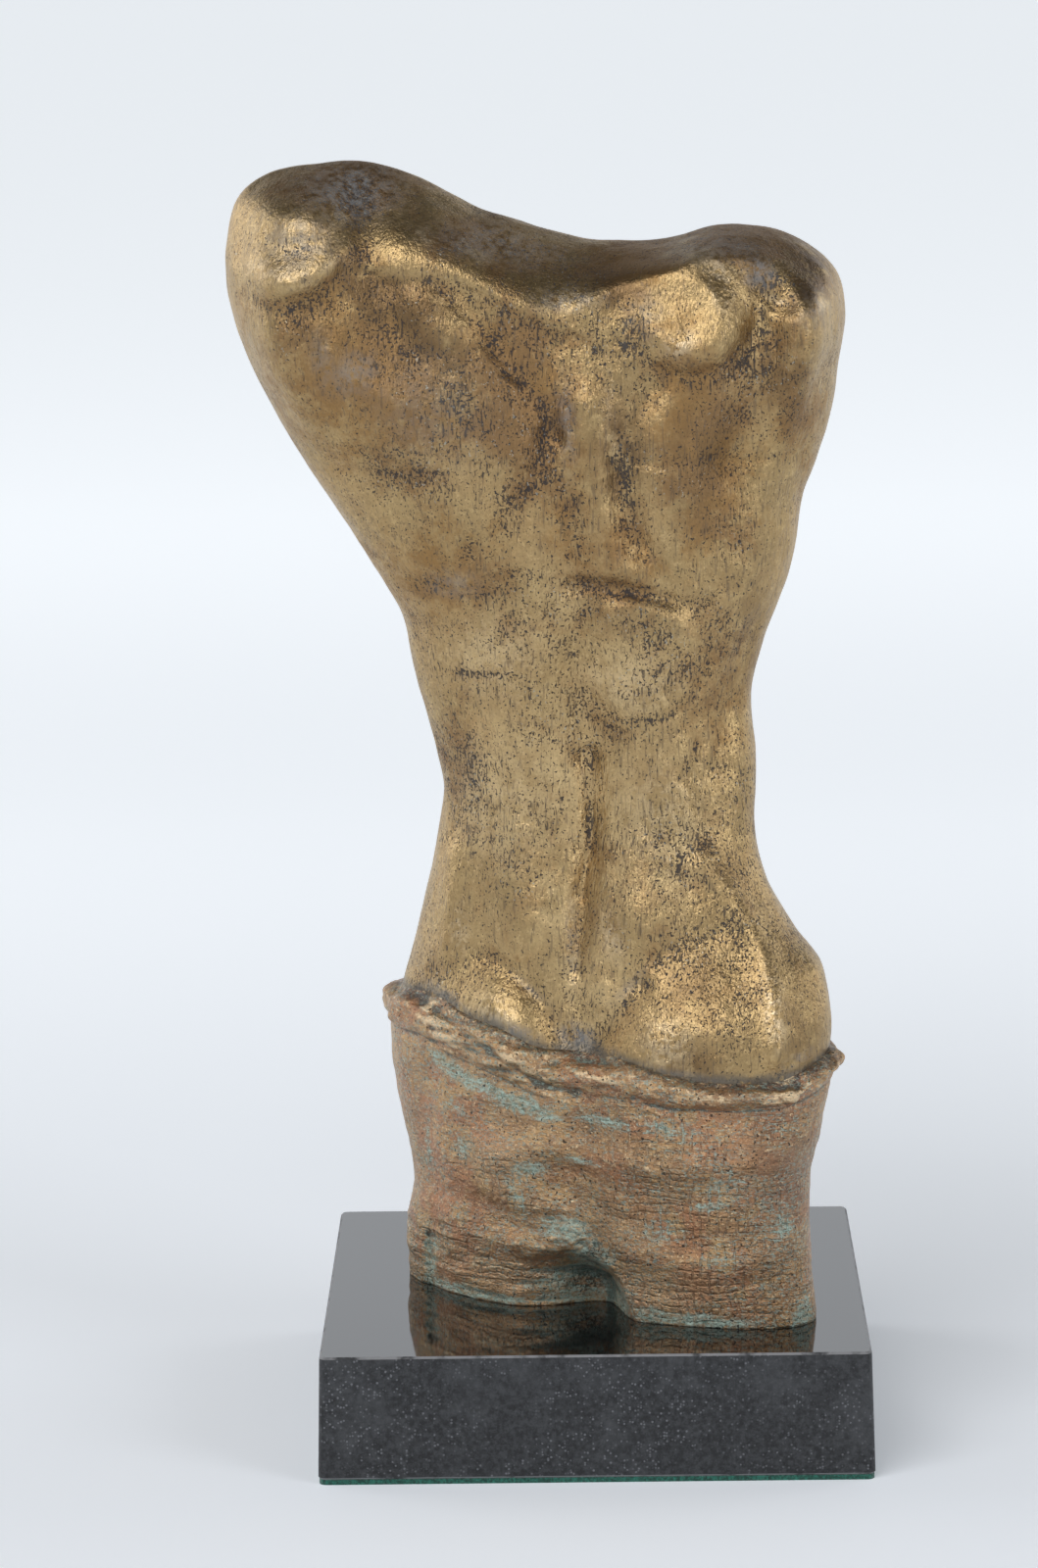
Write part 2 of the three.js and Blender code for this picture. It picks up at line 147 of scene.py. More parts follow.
def nearest(line, x, z):
    """Distance of each place to the line, and which side it is on: 1 left of the line's direction."""
    best = np.full(x.shape, 1e9)
    side = np.ones(x.shape)
    route = spline(line)
    for a, b in zip(route[:-1], route[1:]):
        d = b - a
        t = np.clip(((x - a[0]) * d[0] + (z - a[1]) * d[1]) / (d @ d + 1e-12), 0, 1)
        px, pz = x - a[0] - t * d[0], z - a[1] - t * d[1]
        far = px * px + pz * pz
        closer = far < best
        best = np.where(closer, far, best)
        side = np.where(closer, np.sign(d[0] * pz - d[1] * px), side)
    return np.sqrt(best), side


def within(line, reach, x, z):
    """The places in the line's box, grown by a reach."""
    p = np.array(line, float)
    low, high = p.min(0) - reach, p.max(0) + reach
    return (x > low[0]) & (x < high[0]) & (z > low[1]) & (z < high[1])


def ledge(height, left, right, line):
    """A crest that falls over one width on its left and another on its right: a plane's crisp edge."""
    def form(x, z):
        out = np.zeros(x.shape)
        near = within(line, 3 * max(left, right), x, z)
        if near.any():
            d, side = nearest(line, x[near], z[near])
            out[near] = height * np.exp(-(d / np.where(side > 0, left, right)) ** 2)
        return out
    return form


def ridge(height, width, line):
    """A rounded ridge along a line, or a groove where the height is negative."""
    return ledge(height, width, width, line)


def pad(height, centre, halves, turn=0.0, core=0.0, tilt=0.0):
    """An oval mound with a flat core, or a facet where it is tilted up towards the end it is turned to."""
    c, s = math.cos(math.radians(turn)), math.sin(math.radians(turn))

    def form(x, z):
        along = ((x - centre[0]) * c + (z - centre[1]) * s) / halves[0]
        across = ((z - centre[1]) * c - (x - centre[0]) * s) / halves[1]
        return height * (1 + tilt * along) * (1 - smooth(core, 1, np.hypot(along, across)))
    return form


# Lines that a form of the solids and a finer one share
LEFT_HIP_GROOVE = [(-8.7, 31.4), (-6.2, 29.9), (-4.1, 27.4), (-2.4, 24.9)]
RIGHT_HIP_GROOVE = [(11.9, 33.5), (8.2, 32.4), (4.8, 30.6), (2.3, 27.4), (0.1, 24.5)]
WAIST_STEP = [(-12.5, 56.7), (-8.3, 56.3), (-3.3, 56.9)]
FLANK_FOLD = [(-15.4, 20), (-15.5, 14), (-15.2, 8), (-15.2, -1)]

# Forms that the solids have too
BACK_FORMS = [
    # Spine and the columns of muscle beside it
    ridge(-0.6, 2, [(-2.4, 90), (-2.9, 83), (-2.7, 78.6), (-1.9, 73), (-0.6, 62), (0, 50)]),
    ridge(-0.7, 1.1, [(0.1, 49), (0.3, 44), (-0.3, 39.8), (-0.9, 36), (-1.3, 31)]),
    ridge(-1, 3.2, [(0, 58), (0, 46), (-0.6, 36), (-1.3, 27)]),
    ridge(0.6, 3, [(-6.7, 53), (-6.4, 43), (-6.1, 35)]),
    ridge(0.7, 2.6, [(5.1, 51), (5, 43.3), (4.5, 36.6)]),
    # Raised shoulder
    pad(0.8, (-11, 79), (12, 6.6), -50, 0.5, 0.2),
    ridge(0.4, 2.2, [(-15.5, 93.6), (-12.8, 93.3), (-9.9, 92.2), (-7, 90.4), (-4.1, 88.8), (-1.6, 88.6)]),
    pad(0.9, (-24.6, 93.4), (4.8, 5.4), -90, 0.5, 0.8),
    ridge(-1, 1.9, [(-19.5, 97.5), (-18.2, 94.5), (-17.4, 91.5), (-16.4, 88.5), (-14.5, 85.5)]),
    ridge(-0.5, 1.6, [(-11, 88.6), (-8.5, 86.4), (-5.4, 82.4), (-3.2, 78.2)]),
    ridge(-0.6, 1.5, [(-3.2, 76.9), (-4.9, 72.8), (-7.1, 69), (-9.5, 67.7)]),
    # Lower shoulder
    ridge(0.3, 2, [(0.5, 89.6), (4.7, 91), (8, 92), (10.9, 92.8)]),
    pad(1.1, (8.6, 87.8), (6.4, 5), -38, 0.5, 0.8),
    ridge(-0.8, 1.5, [(5.4, 81.4), (3.9, 77.7), (3.4, 74.3), (3.8, 71), (4.6, 68.1)]),
    ridge(0.5, 1.5, [(0.4, 80), (0.7, 74.4), (1.3, 70.2), (2.3, 66.4)]),
    ridge(-1, 2, [(15.9, 88), (15.2, 84), (13.9, 79), (12.4, 75)]),
    ridge(0.6, 2, [(18.4, 86), (18.2, 82), (17.2, 77), (15.5, 71.5), (13.6, 66)]),
    pad(0.7, (8.2, 73), (4.4, 7.5), -8, 0.1),
    pad(-0.8, (17.6, 91), (3.6, 2.8), -30, 0.2),
    # Steps where muscles end, and the fold of the right flank
    pad(0.6, (4.5, 58.4), (6.2, 6), 0, 0.7),
    ridge(-0.5, 0.8, [(-1.1, 64.4), (1, 64.7), (3.9, 64.1), (7.7, 63.1), (10.6, 62.9)]),
    ridge(-0.3, 0.7, WAIST_STEP),
    ridge(-0.35, 1.2, [(-14.1, 64.4), (-9.9, 63.5), (-5.7, 65.2)]),
    ridge(-0.6, 1.3, [(14.5, 60.1), (13.3, 56.8), (11.9, 52.7), (11.3, 48.5)]),
    # Hips
    ridge(-0.7, 0.9, LEFT_HIP_GROOVE),
    ridge(-0.8, 0.9, RIGHT_HIP_GROOVE),
    pad(1.3, (-8.8, 26), (6.6, 5.2), -20, 0.2),
    pad(1.5, (8.6, 25.4), (8.6, 7), 0, 0.2),
    ridge(0.7, 1.3, [(10.1, 40.2), (12, 38.2), (13.9, 35.3), (15.3, 32.1), (16, 28.9), (16, 25)]),
    ridge(0.5, 1.1, [(-11.8, 40), (-12.8, 35.3), (-13.4, 30.6)]),
    # Cloth
    ridge(-1, 2.4, [(-0.4, 17), (-1.3, 13), (-1.4, 9.5), (-0.2, 6), (0.6, 0)]),
    ridge(0.6, 1.5, [(-9, 13.6), (-4.7, 15.2), (-0.4, 15.1), (4.6, 14.7), (9.6, 14.9), (14.6, 15.8), (18.7, 17.5)]),
    ridge(0.4, 1.3, [(-14.1, 13), (-10.7, 11.2), (-5.6, 10.2), (-2.5, 9.6)]),
    ridge(0.5, 1.3, [(-14.2, 7.9), (-9.1, 5.9), (-5.9, 6.2), (-2, 7.4)]),
    ridge(0.5, 1.6, [(3.7, 6.5), (9.5, 5.4), (15.3, 6.9), (18.6, 8.5)]),
    ridge(-0.5, 0.8, FLANK_FOLD),
]
FRONT_FORMS = [
    pad(1.5, (-10.5, 76.5), (10.5, 9), 15),
    pad(1.4, (7.2, 75), (9.5, 8.5), -8),
    ridge(-0.6, 1.4, [(-2.4, 88), (-1.6, 78), (-1.2, 70)]),
    ridge(-0.6, 1.6, [(-12.5, 58), (-7, 63.5), (-1, 67), (5, 63), (11, 57)]),
    ridge(-0.4, 1.2, [(-1, 66), (0, 56), (0.6, 46)]),
    pad(0.9, (0.8, 36), (9.5, 7.5), 0, 0.1),
    pad(-1.1, (0.7, 41.5), (1.5, 1.7)),
    ridge(-0.6, 1.5, [(-13.5, 38), (-10, 32), (-5.5, 27.5)]),
    ridge(-0.6, 1.5, [(15.5, 36), (11.5, 30), (6.5, 25)]),
    pad(-0.9, (-14, 86), (5, 3), 30, 0.1),
    ridge(0.8, 1.6, [(-13.5, 92.5), (-8, 90), (-2, 88.6), (5, 90), (11, 91)]),
    ridge(0.6, 1.6, [(-12, 16), (-5, 12.5), (1.5, 11.5), (9, 12.5), (15, 16)]),
    ridge(0.5, 1.5, [(-10, 10), (-4, 7), (2, 6), (9, 7), (14, 10)]),
    ridge(-0.9, 2.2, [(1, 14), (1.4, 7), (1.6, 0)]),
]

# Crisper forms of the casting's back, too fine for the solids. A wide one of the other sign takes back some of the
# solids' softer form under it.
BACK_DETAIL = [
    # Edges of the shoulders' facets and of the muscles below them
    ledge(0.45, 3.2, 0.8, [(-30.2, 91.2), (-26.6, 90.1), (-23.4, 90.8), (-20.8, 92.6), (-20, 94.8)]),
    ledge(0.45, 3.2, 0.7, [(6, 84.4), (9, 83.2), (11.8, 85), (14, 87.6), (12.6, 90.6), (10.9, 92)]),
    ledge(0.25, 0.7, 2.4, [(-12.8, 89.5), (-9.5, 86.2), (-6.3, 82), (-3.4, 78.2)]),
    ledge(0.12, 2.4, 0.5, [(0.6, 65.3), (3.9, 64.8), (6.4, 64)]),
    ridge(0.3, 1, [(8.4, 63.2), (11.6, 62.9)]),
    ridge(0.5, 1.9, [(-18.2, 94.5), (-17.4, 91.5), (-16.4, 88.5), (-14.5, 85.5)]),
    ledge(0.5, 0.7, 2.6, [(-1.8, 86.8), (-5.2, 88.6), (-11, 91.2), (-16.5, 91.6)]),
    ledge(0.15, 0.5, 2.2, [(-3, 88.4), (-3.4, 84), (-3.8, 79), (-4.6, 75)]),
    # Flatter hip, hollow above the cloth, fuller raised shoulder
    pad(-1.1, (8.6, 25.4), (8.6, 7), 0, 0.2),
    pad(0.55, (10.5, 20), (12.5, 13), 0, 0.5),
    ridge(0.5, 0.9, [(11.9, 33.5), (8.2, 32.4), (5.5, 31)]),
    pad(-0.5, (-1.6, 28.6), (2.4, 3)),
    pad(2.3, (-24.5, 98.2), (7, 5.4), 0, 0.3),
    pad(-0.5, (-11, 79), (12, 6.6), -50, 0.5, 0.2),
    pad(0.5, (-12.5, 88), (6, 3.6), -20, 0.2),
    # The cloth's fold at the left, and the line under its roll
    ridge(-0.4, 0.8, [(-14.2, 21), (-14.5, 14), (-14.2, 8), (-14.1, -1)]),
    ridge(-0.45, 0.5, [(-15.3, 27.2), (-12.2, 25.7), (-9.3, 23.9), (-6.6, 22.6), (-4.4, 21.1), (-1.5, 20.6)]),
    ridge(-0.3, 0.4, [(3.5, 20.9), (6.5, 20.2), (9.4, 20.3)]),
    ridge(-0.35, 0.6, [(-14.6, 4.6), (-14.7, 2.4), (-14.6, -1)]),
    ridge(0.3, 0.8, FLANK_FOLD),
    # Steps and cracks of the waist and hips
    ledge(0.2, 2.6, 0.5, [(-0.6, 55.9), (0.9, 53.4), (4.2, 52.2), (7.6, 52.8), (10.1, 54.7)]),
    ledge(0.22, 2.2, 0.5, [(16, 25.5), (16, 28.9), (15.3, 32.1), (13.9, 35.3), (12, 38.2)]),
    ledge(0.2, 0.5, 1.8, [(-12.8, 31.5), (-12.2, 35.3), (-11.4, 38.5)]),
    ridge(-0.2, 0.4, [(0.1, 44.8), (0.2, 42), (-0.3, 39.8), (-0.8, 37)]),
    ridge(-0.25, 0.5, [(9.4, 50.4), (8.9, 49.1), (8.3, 47.5)]),
    ridge(0.2, 0.8, WAIST_STEP),
    ridge(0.42, 0.95, LEFT_HIP_GROOVE),
    ridge(-0.5, 2.2, LEFT_HIP_GROOVE),
    ridge(0.5, 0.95, RIGHT_HIP_GROOVE),
    ridge(-0.5, 2.3, RIGHT_HIP_GROOVE),
    # Lumps and cracks of the upper back
    pad(-0.5, (-16.2, 84.5), (5.5, 4), -40, 0.2),
    ridge(0.25, 0.6, [(14.9, 88.6), (16.6, 87.1), (18.4, 87.3), (19.8, 88.6)]),
    pad(0.3, (20.2, 87.6), (1.1, 0.8), 20, 0.3),
    ridge(-0.3, 0.5, [(14.6, 89.8), (16.2, 88.4), (17.6, 88.3)]),
    ridge(0.2, 0.45, [(-8.6, 84.6), (-7.2, 82.6), (-5.2, 81.4)]),
    ridge(0.25, 0.5, [(-1.9, 79.5), (-1.4, 77.2), (-1.9, 75.1), (-1.1, 73)]),
]


def total(forms, x, z):
    """All the forms' heights together."""
    out = np.zeros(x.shape)
    for form in forms:
        out += form(x, z)
    return out


def scoop(x, z):
    """The hollow under the cloth's lower edge, deepest beside the right thigh's steep wall."""
    rise = 5.2 * np.sqrt(np.clip(1 - ((x + 2.6) / 5.8) ** 2, 0, 1))
    low = 1 - smooth(0.55, 1.25, z / np.maximum(rise, 0.4))
    return 4.4 * smooth(-8.2, 1.3, x) * (1 - smooth(1.3, 3.6, x)) * low


def cloth_offset(drop, roll):
    """How far the cloth stands off the body, at a drop below its upper edge."""
    share = np.clip(drop / roll, 0, 1)
    bulge = np.sin(np.pi * share**0.85) ** 0.8
    return (CLOTH_THICKNESS / SHARE) * smooth(0, 0.3, share) + (ROLL_DEPTH / SHARE) * bulge


def fullness(spread):
    """Share of the full depth at a share of the way out to the outline."""
    return (1 - np.clip(spread, 0, 1) ** ROUNDNESS) ** (1 / ROUNDNESS)


def shoulder_fullness(spread, angle):
    """The same over the shoulders, with an upright back that breaks into their flat top."""
    turn = shoulder_break(angle)
    upright = 1 - 0.1 * spread * spread
    slope = 0.95 * (np.clip(1 - spread * spread, 0, 1) / (1 - turn * turn)) ** 0.65
    blend = np.clip(0.16 - abs(upright - slope), 0, None)
    return np.minimum(upright, slope) - 1.6 * blend * blend


def skin(out, x, z, offset):
    """Points of the skin in millimetres, from the share out towards back (-) or front (+) and the place."""
    back = out < 0
    depth = np.where(back, back_depth(z), front_depth(z)) + offset
    y = mid_plane(z) + swing(z) * (x - SWING_CENTRE) + out * depth
    facing = smooth(0.05, 0.6, abs(out))
    behind = scoop(x, z) - total(BACK_FORMS, x, z) - total(BACK_DETAIL, x, z)
    y = y + facing * np.where(back, behind, total(FRONT_FORMS, x, z))
    return np.stack([x * SHARE, y * SHARE, z * SHARE + TORSO_FOOT], -1)


def ring(back_columns, front_columns):
    """Angles of the columns round the figure, from the viewer's right over the front."""
    front = np.pi * np.arange(front_columns) / front_columns
    back = np.pi + np.pi * np.arange(back_columns) / back_columns
    return np.concatenate([front, back])


def trunk(angles, height):
    """Rows of the trunk. height(hem, roll) gives a list of rows of heights."""
    across, side = np.cos(angles), np.sin(angles)
    hem = np.where(side < 0, hem_back(across), hem_front(across))
    roll = roll_height(across)
    z = np.array(height(hem, roll))
    offset = np.where(hem - z > 0, cloth_offset(hem - z, roll), 0)
    return z, offset, across, side, hem, roll


def trunk_skin(z, offset, across, side):
    """The skin between foot and chest, where the columns stand upright."""
    middle = (left_edge(z) + right_edge(z)) / 2
    half = (right_edge(z) - left_edge(z)) / 2 + offset
    out = np.broadcast_to(np.sign(side) * fullness(abs(across)), z.shape)
    return skin(out, middle + across * half, z, offset)


def crown_skin(angles, leans):
    """The skin above the chest, where the columns close over the shoulders."""
    lean, angle = np.meshgrid(leans, angles, indexing="ij")
    right, up = np.sin(lean) * np.cos(angle), np.cos(lean)
    spread = np.hypot(right, up)
    outline = np.degrees(np.arctan2(up, right))
    reach = crown_edge(outline)
    high = smooth(0, 0.5, up / spread)
    rear = (1 - high) * fullness(spread) + high * shoulder_fullness(spread, outline)
    out = np.where(np.sin(angle) > 0, fullness(spread), -rear)
    return skin(out, CHEST_X + reach * right, CHEST_Z + reach * up, 0)


# Seeded smooth noise, about -1 to 1, one wave about every size millimetres
SHUFFLE = np.random.default_rng(7).permutation(256)
SHUFFLE = np.concatenate([SHUFFLE, SHUFFLE, SHUFFLE])
SPIKES = np.random.default_rng(8).normal(size=(256, 3))
SPIKES /= np.linalg.norm(SPIKES, axis=1, keepdims=True)


def noise(points, size, seed=0):
    """Gradient noise at places in millimetres."""
    q = points / np.array(size, float) + 31.7 * seed
    i = np.floor(q).astype(int)
    f = q - i
    u = f * f * f * (f * (f * 6 - 15) + 10)
    i = i & 255
    out = np.zeros(points.shape[:-1])
    for corner in np.ndindex(2, 2, 2):
        c = np.array(corner)
        key = SHUFFLE[SHUFFLE[SHUFFLE[i[..., 0] + c[0]] + i[..., 1] + c[1]] + i[..., 2] + c[2]]
        weight = np.prod(np.where(c == 1, u, 1 - u), axis=-1)
        out += weight * np.sum(SPIKES[key] * (f - c), axis=-1)
    return 1.6 * out


def layers(points, size, count, seed=0):
    """Noise with finer noise on it, each layer half the size and height."""
    out = 0
    for k in range(count):
        out = out + noise(points, np.array(size, float) / 2**k, seed + 5 * k) / 2**k
    return out


def turned(points, degrees):
    """Places turned about the axis that looks into the back, so that a stretched noise runs on a slant."""
    c, s = math.cos(math.radians(degrees)), math.sin(math.radians(degrees))
    x, y, z = points[..., 0], points[..., 1], points[..., 2]
    return np.stack([x * c - z * s, y, x * s + z * c], -1)


def normals(grid):
    """Outward directions of a grid of rows that close on themselves."""
    across = np.roll(grid, -1, 1) - np.roll(grid, 1, 1)
    up = np.gradient(grid, axis=0)
    n = np.cross(across, up)
    return n / (np.linalg.norm(n, axis=-1, keepdims=True) + 1e-9)


def softened(grid, times):
    """The grid with each point drawn to its neighbours, a number of times."""
    g = grid.copy()
    for _ in range(times):
        g = (g + np.roll(g, 1, 1) + np.roll(g, -1, 1)) / 3
        padded = np.concatenate([g[:1], g, g[-1:]])
        g = (padded[:-2] + padded[1:-1] + padded[2:]) / 3
    return g


def hollows(grid, times):
    """How far each place lies below its surroundings, in millimetres."""
    return np.sum((softened(grid, times) - grid) * normals(grid), -1)


def mesh_object(name, grid, top, foot, fields):
    """Closes a grid of rows with a point at the top and one at the foot. fields are values per point."""
    rows, columns = grid.shape[:2]
    points = np.concatenate([grid.reshape(-1, 3), [top, foot]]) * MM
    at = np.arange(rows * columns).reshape(rows, columns)
    a, b = at[:-1], np.roll(at[:-1], -1, 1)
    d, c = at[1:], np.roll(at[1:], -1, 1)
    faces = np.stack([a, b, c, d], -1).reshape(-1, 4).tolist()
    last, first = at[-1], at[0]
    peak, base = rows * columns, rows * columns + 1
    faces += [[int(p), int(q), peak] for p, q in zip(last, np.roll(last, -1))]
    faces += [[int(q), int(p), base] for p, q in zip(first, np.roll(first, -1))]
    mesh = bpy.data.meshes.new(name)
    mesh.from_pydata(points.tolist(), [], faces)
    mesh.polygons.foreach_set("use_smooth", [True] * len(mesh.polygons))
    for key, values in fields.items():
        layer = mesh.attributes.new(key, "FLOAT", "POINT")
        layer.data.foreach_set("value", np.concatenate([values.reshape(-1), [0, 0]]).astype(np.float32))
    mesh.update()
    piece = bpy.data.objects.new(name, mesh)
    bpy.context.scene.collection.objects.link(piece)
    return piece


def place_mask(spots, grid):
    """Strength of stains, painted shade and painted light on the back at listed places: (strength, (x, z), (half
    length, half width), turn).
    """
    x, z = grid[..., 0] / SHARE, (grid[..., 2] - TORSO_FOOT) / SHARE
    out = np.zeros(x.shape)
    for spot in spots:
        out = np.maximum(out, pad(*spot)(x, z))
    return out * (normals(grid)[..., 1] < 0.2)


# Dark patches on the back, where the photograph has them
DARK_SPOTS = [
    (0.6, (-21, 89), (5, 1.8), -25), (0.5, (-22, 83.5), (2, 4), 10), (0.6, (-18, 92.3), (2.6, 1.4), -50),
    (0.4, (-8, 85), (2.4, 2.8), -40), (0.5, (-5.5, 82), (2.2, 3.2), -60), (0.6, (-6.8, 72.5), (1.4, 4.2), -30),
    (0.5, (-12.5, 64.5), (4.2, 1.6)), (0.4, (-7, 66), (3, 1.2), 15), (0.6, (3.4, 73.5), (4.2, 1), -80),
    (0.5, (17.2, 79), (4.5, 1.2), 80), (0.6, (3, 63.6), (4.4, 0.8), -4), (0.8, (8.6, 49.2), (2.2, 0.6), 60),
    (0.7, (-9.6, 56.6), (4.2, 0.7), 3), (0.8, (0, 43.5), (0.5, 3.4)), (0.5, (-9.5, 47.5), (2.2, 6), 12),
    (0.7, (4.6, 52.8), (5.2, 0.6), 2), (0.5, (-3.2, 61), (0.9, 6)), (0.4, (13, 50.5), (2.2, 1.4), 50),
    (0.5, (-10.5, 88), (2.6, 0.8), -60), (0.5, (-3.5, 79), (0.7, 5)), (0.3, (-14, 75), (4, 2), -40),
    (0.4, (9.4, 57), (3, 2.4)), (0.3, (-0.5, 69), (1, 5)), (0.4, (6, 60.8), (4, 2.2)),
    (0.5, (-19.5, 98), (8, 4)), (0.4, (-7, 93.5), (10, 2.6), -12), (0.5, (12, 93.5), (8, 2.8), -6),
    (0.5, (10.5, 27), (6, 5)), (0.5, (16, 90), (2.4, 1.6)), (0.4, (12.5, 35), (2, 4), 30),
    (0.8, (5, 87.2), (2.2, 3.6), -25), (0.5, (1.5, 84), (1.2, 4), 10), (0.5, (-20.6, 86), (2.2, 1.4)),
    (0.5, (-6.5, 61), (3, 2.4), 20), (0.5, (-12, 60.5), (2.4, 1.4)), (0.5, (2.6, 69), (1.2, 5), -8),
]
# Where the patina stays brown: the shoulders' tops and most of the upper back
BROWN_SPOTS = [
    (1, (-19, 83), (14, 12), -50), (1, (-19.5, 98.5), (12, 3.6)), (1, (-8, 93.4), (12, 3.2), -14),
    (1, (-5, 80), (8, 14), 20), (1, (4, 91.5), (8, 3)), (1, (14, 93.5), (9, 3.4), -8),
    (1, (10, 76), (7, 16), 8), (0.7, (-12, 66), (9, 8)), (0.6, (2, 66), (8, 8)), (0.5, (-11, 50), (4, 9)),
    (0.6, (-1.5, 83), (3.2, 8)), (0.7, (18, 80), (4, 12), 8), (0.5, (11, 56), (4, 9)), (0.5, (-2, 74), (5, 12)),
    (0.35, (0, 38), (12, 8)),
]
# Where grey silt lies: in the folds, beside the cloth and on the shoulders' tops
GREY_SPOTS = [
    (1, (-1.2, 25.2), (2.6, 1.8), -10), (0.7, (-6.4, 25.6), (3.4, 1), -18),
    (0.6, (-12.5, 27.6), (3.4, 0.8), -25), (0.5, (6.5, 23.1), (6.2, 0.7), -6),
    (0.5, (17.5, 24.1), (3, 0.8), 22), (0.35, (3.4, 30), (3.6, 0.8), 45), (0.3, (-5.2, 29), (3.2, 0.7), -40),
    (0.35, (-1.6, 33), (1, 6.5)), (0.8, (-19.5, 98), (8, 4.4)), (0.45, (-24, 94), (6, 5)),
    (0.6, (-7, 93.5), (10, 2.8), -12), (0.6, (10, 93.5), (10, 3), -6), (0.6, (-19.4, 83), (3.4, 2.6), 30),
    (0.2, (-13, 80), (9, 7), -40), (0.4, (19.6, 88), (3, 3)), (0.5, (-1.4, 78.5), (1.2, 6), 4),
    (0.4, (-11.5, 64.5), (4, 2)), (0.35, (5, 87.2), (2.4, 3.4), -25), (0.8, (14.9, 91), (2.8, 2.2), -35),
    (0.6, (-1.5, 89), (4.4, 1.6)), (0.35, (-22, 84), (1.8, 4), 10),
]

# High places that are rubbed bright, with painted highlights on them
RUBBED_AND_HIGHLIGHT_SPOTS = [
    (0.7, (-26, 91.8), (4.2, 1.4)), (0.4, (-24.5, 94.2), (4, 2.6), 20), (0.7, (-13.5, 94.4), (3, 1), -25),
    (0.6, (-9, 92.8), (3, 0.8), -33), (0.9, (11.6, 90.4), (1.7, 3.6), 10), (1, (8.2, 85.3), (2.2, 1.5), 30),
    (0.8, (16.8, 88.4), (2, 0.5), -25), (0.8, (20.2, 88), (0.9, 0.9)), (0.9, (-8.6, 26.6), (3.4, 2.6), -30),
    (0.9, (15.6, 28.6), (1.5, 5), 8), (0.7, (1.8, 34), (1.6, 3.4), 10), (0.7, (6.5, 25.5), (3.6, 3.6)),
    (0.6, (-11.4, 33.5), (1.3, 3.2)), (0.35, (-8, 45), (7, 8)), (0.35, (6, 44), (6, 8)), (0.4, (4, 56), (6, 4)),
    (0.35, (-8, 58), (6, 6)), (0.4, (2.4, 79), (1, 7), 4),
]

# Painted shade and painted light on the patina
SHADE_SPOTS = [
    (2, (-18.8, 91.2), (2.8, 4.6)), (2.2, (-15.8, 88.8), (6.8, 3.4), -10), (1.2, (-12.5, 84), (6, 6), -30),
    (1.6, (3.4, 89.5), (4.4, 2.4)), (1.6, (19.6, 90.5), (3.4, 5.5)), (0.8, (17, 82), (4.5, 6)),
    (1.4, (3, 76), (4, 8)), (0.7, (10, 76), (5, 9)), (0.6, (14, 60), (2.8, 12)), (0.9, (-22.5, 86.5), (5, 5)),
    (0.9, (8.5, 30.5), (4, 4.5)), (1.2, (8.5, 23.6), (4, 3.2)), (0.8, (18, 26), (3, 6)),
    (1.5, (14.8, 91), (2.6, 2), -35),
]
LIGHT_SPOTS = [
    (0.8, (-2.5, 46), (5, 12)), (0.8, (2, 42), (4, 12)), (0.7, (-7.5, 45), (5, 12)),
    (1, (-3.2, 37), (2.6, 6)), (0.5, (3, 57), (6, 5)), (0.4, (-8, 58), (5, 5)), (0.9, (0, 30), (5, 6)),
    (0.7, (7, 40), (4, 8)), (0.5, (-10, 28.5), (3, 3)), (0.35, (-3, 62), (4, 6)), (0.5, (-12, 97), (6, 3), -20),
    (0.4, (-4, 93.5), (8, 3), -8), (0.6, (-9, 51), (3, 4)),
]


def bronze_body():
    """The figure: trunk and crown in one grid, with dents and tool strokes."""
    angles = ring(262, 96)
    steps = np.linspace(0, 1, 150) ** 1.05
    under_cloth = (1.2, 0.6, 0.3)  # drops of the rows that the cloth hides
    z, offset, across, side, hem, roll = trunk(
        angles, lambda h, r: [h - drop for drop in under_cloth] + [h + (CHEST_Z - h) * s for s in steps]
    )
    lower = trunk_skin(z, offset * 0, across, side)
    leans = np.pi / 2 * (1 - np.arange(1, 92) / 92)
    upper = crown_skin(angles, leans)
    grid = np.concatenate([lower, upper])
    n = normals(grid)
    behind = smooth(-0.2, 0.3, -n[..., 1])
    slant = noise(grid, 60, 3)
    # Planished facets, tool strokes that follow the forms, and shallow dents
    dents = 0.26 * layers(grid, (12, 12, 14), 2, 1) + 0.11 * noise(grid, (4.5, 4.5, 5.5), 2)
    strokes = np.where(slant > 0, noise(turned(grid, 35), (2.2, 3, 11), 4), noise(turned(grid, -12), (2.0, 3, 10), 6))
    shift = dents * (0.55 + 0.45 * behind) + 0.045 * strokes
    fade = smooth(0, 8, np.arange(len(grid)))[:, None]
    grid = grid + n * (shift * fade)[..., None]
    fine = hollows(grid, 6)
    wide = hollows(grid, 40)
    above_cloth = np.concatenate([z - hem, np.full(upper.shape[:2], np.inf)])
    fields = {
        "crease_silt_and_shade": smooth(1.0, 0.1, above_cloth + 0.35 * noise(grid, (9, 9, 5), 9)),
        "hollow": np.clip(fine * 6, -1, 1),
        "deep": np.clip((wide - np.median(wide)) * 0.9, -1, 1),
        "dark": place_mask(DARK_SPOTS, grid),
        "rubbed_and_highlight": place_mask(RUBBED_AND_HIGHLIGHT_SPOTS, grid),
        "shade": place_mask(SHADE_SPOTS, grid),
        "light": place_mask(LIGHT_SPOTS, grid),
        "brown": place_mask(BROWN_SPOTS, grid),
        "grey": place_mask(GREY_SPOTS, grid),
    }
    top = skin(np.array([0.0]), np.array([CHEST_X]), np.array([CHEST_Z + crown_edge(90)]), 0)[0]
    foot = grid[0].mean(0)
    return mesh_object("torso_body", grid, top, foot, fields)
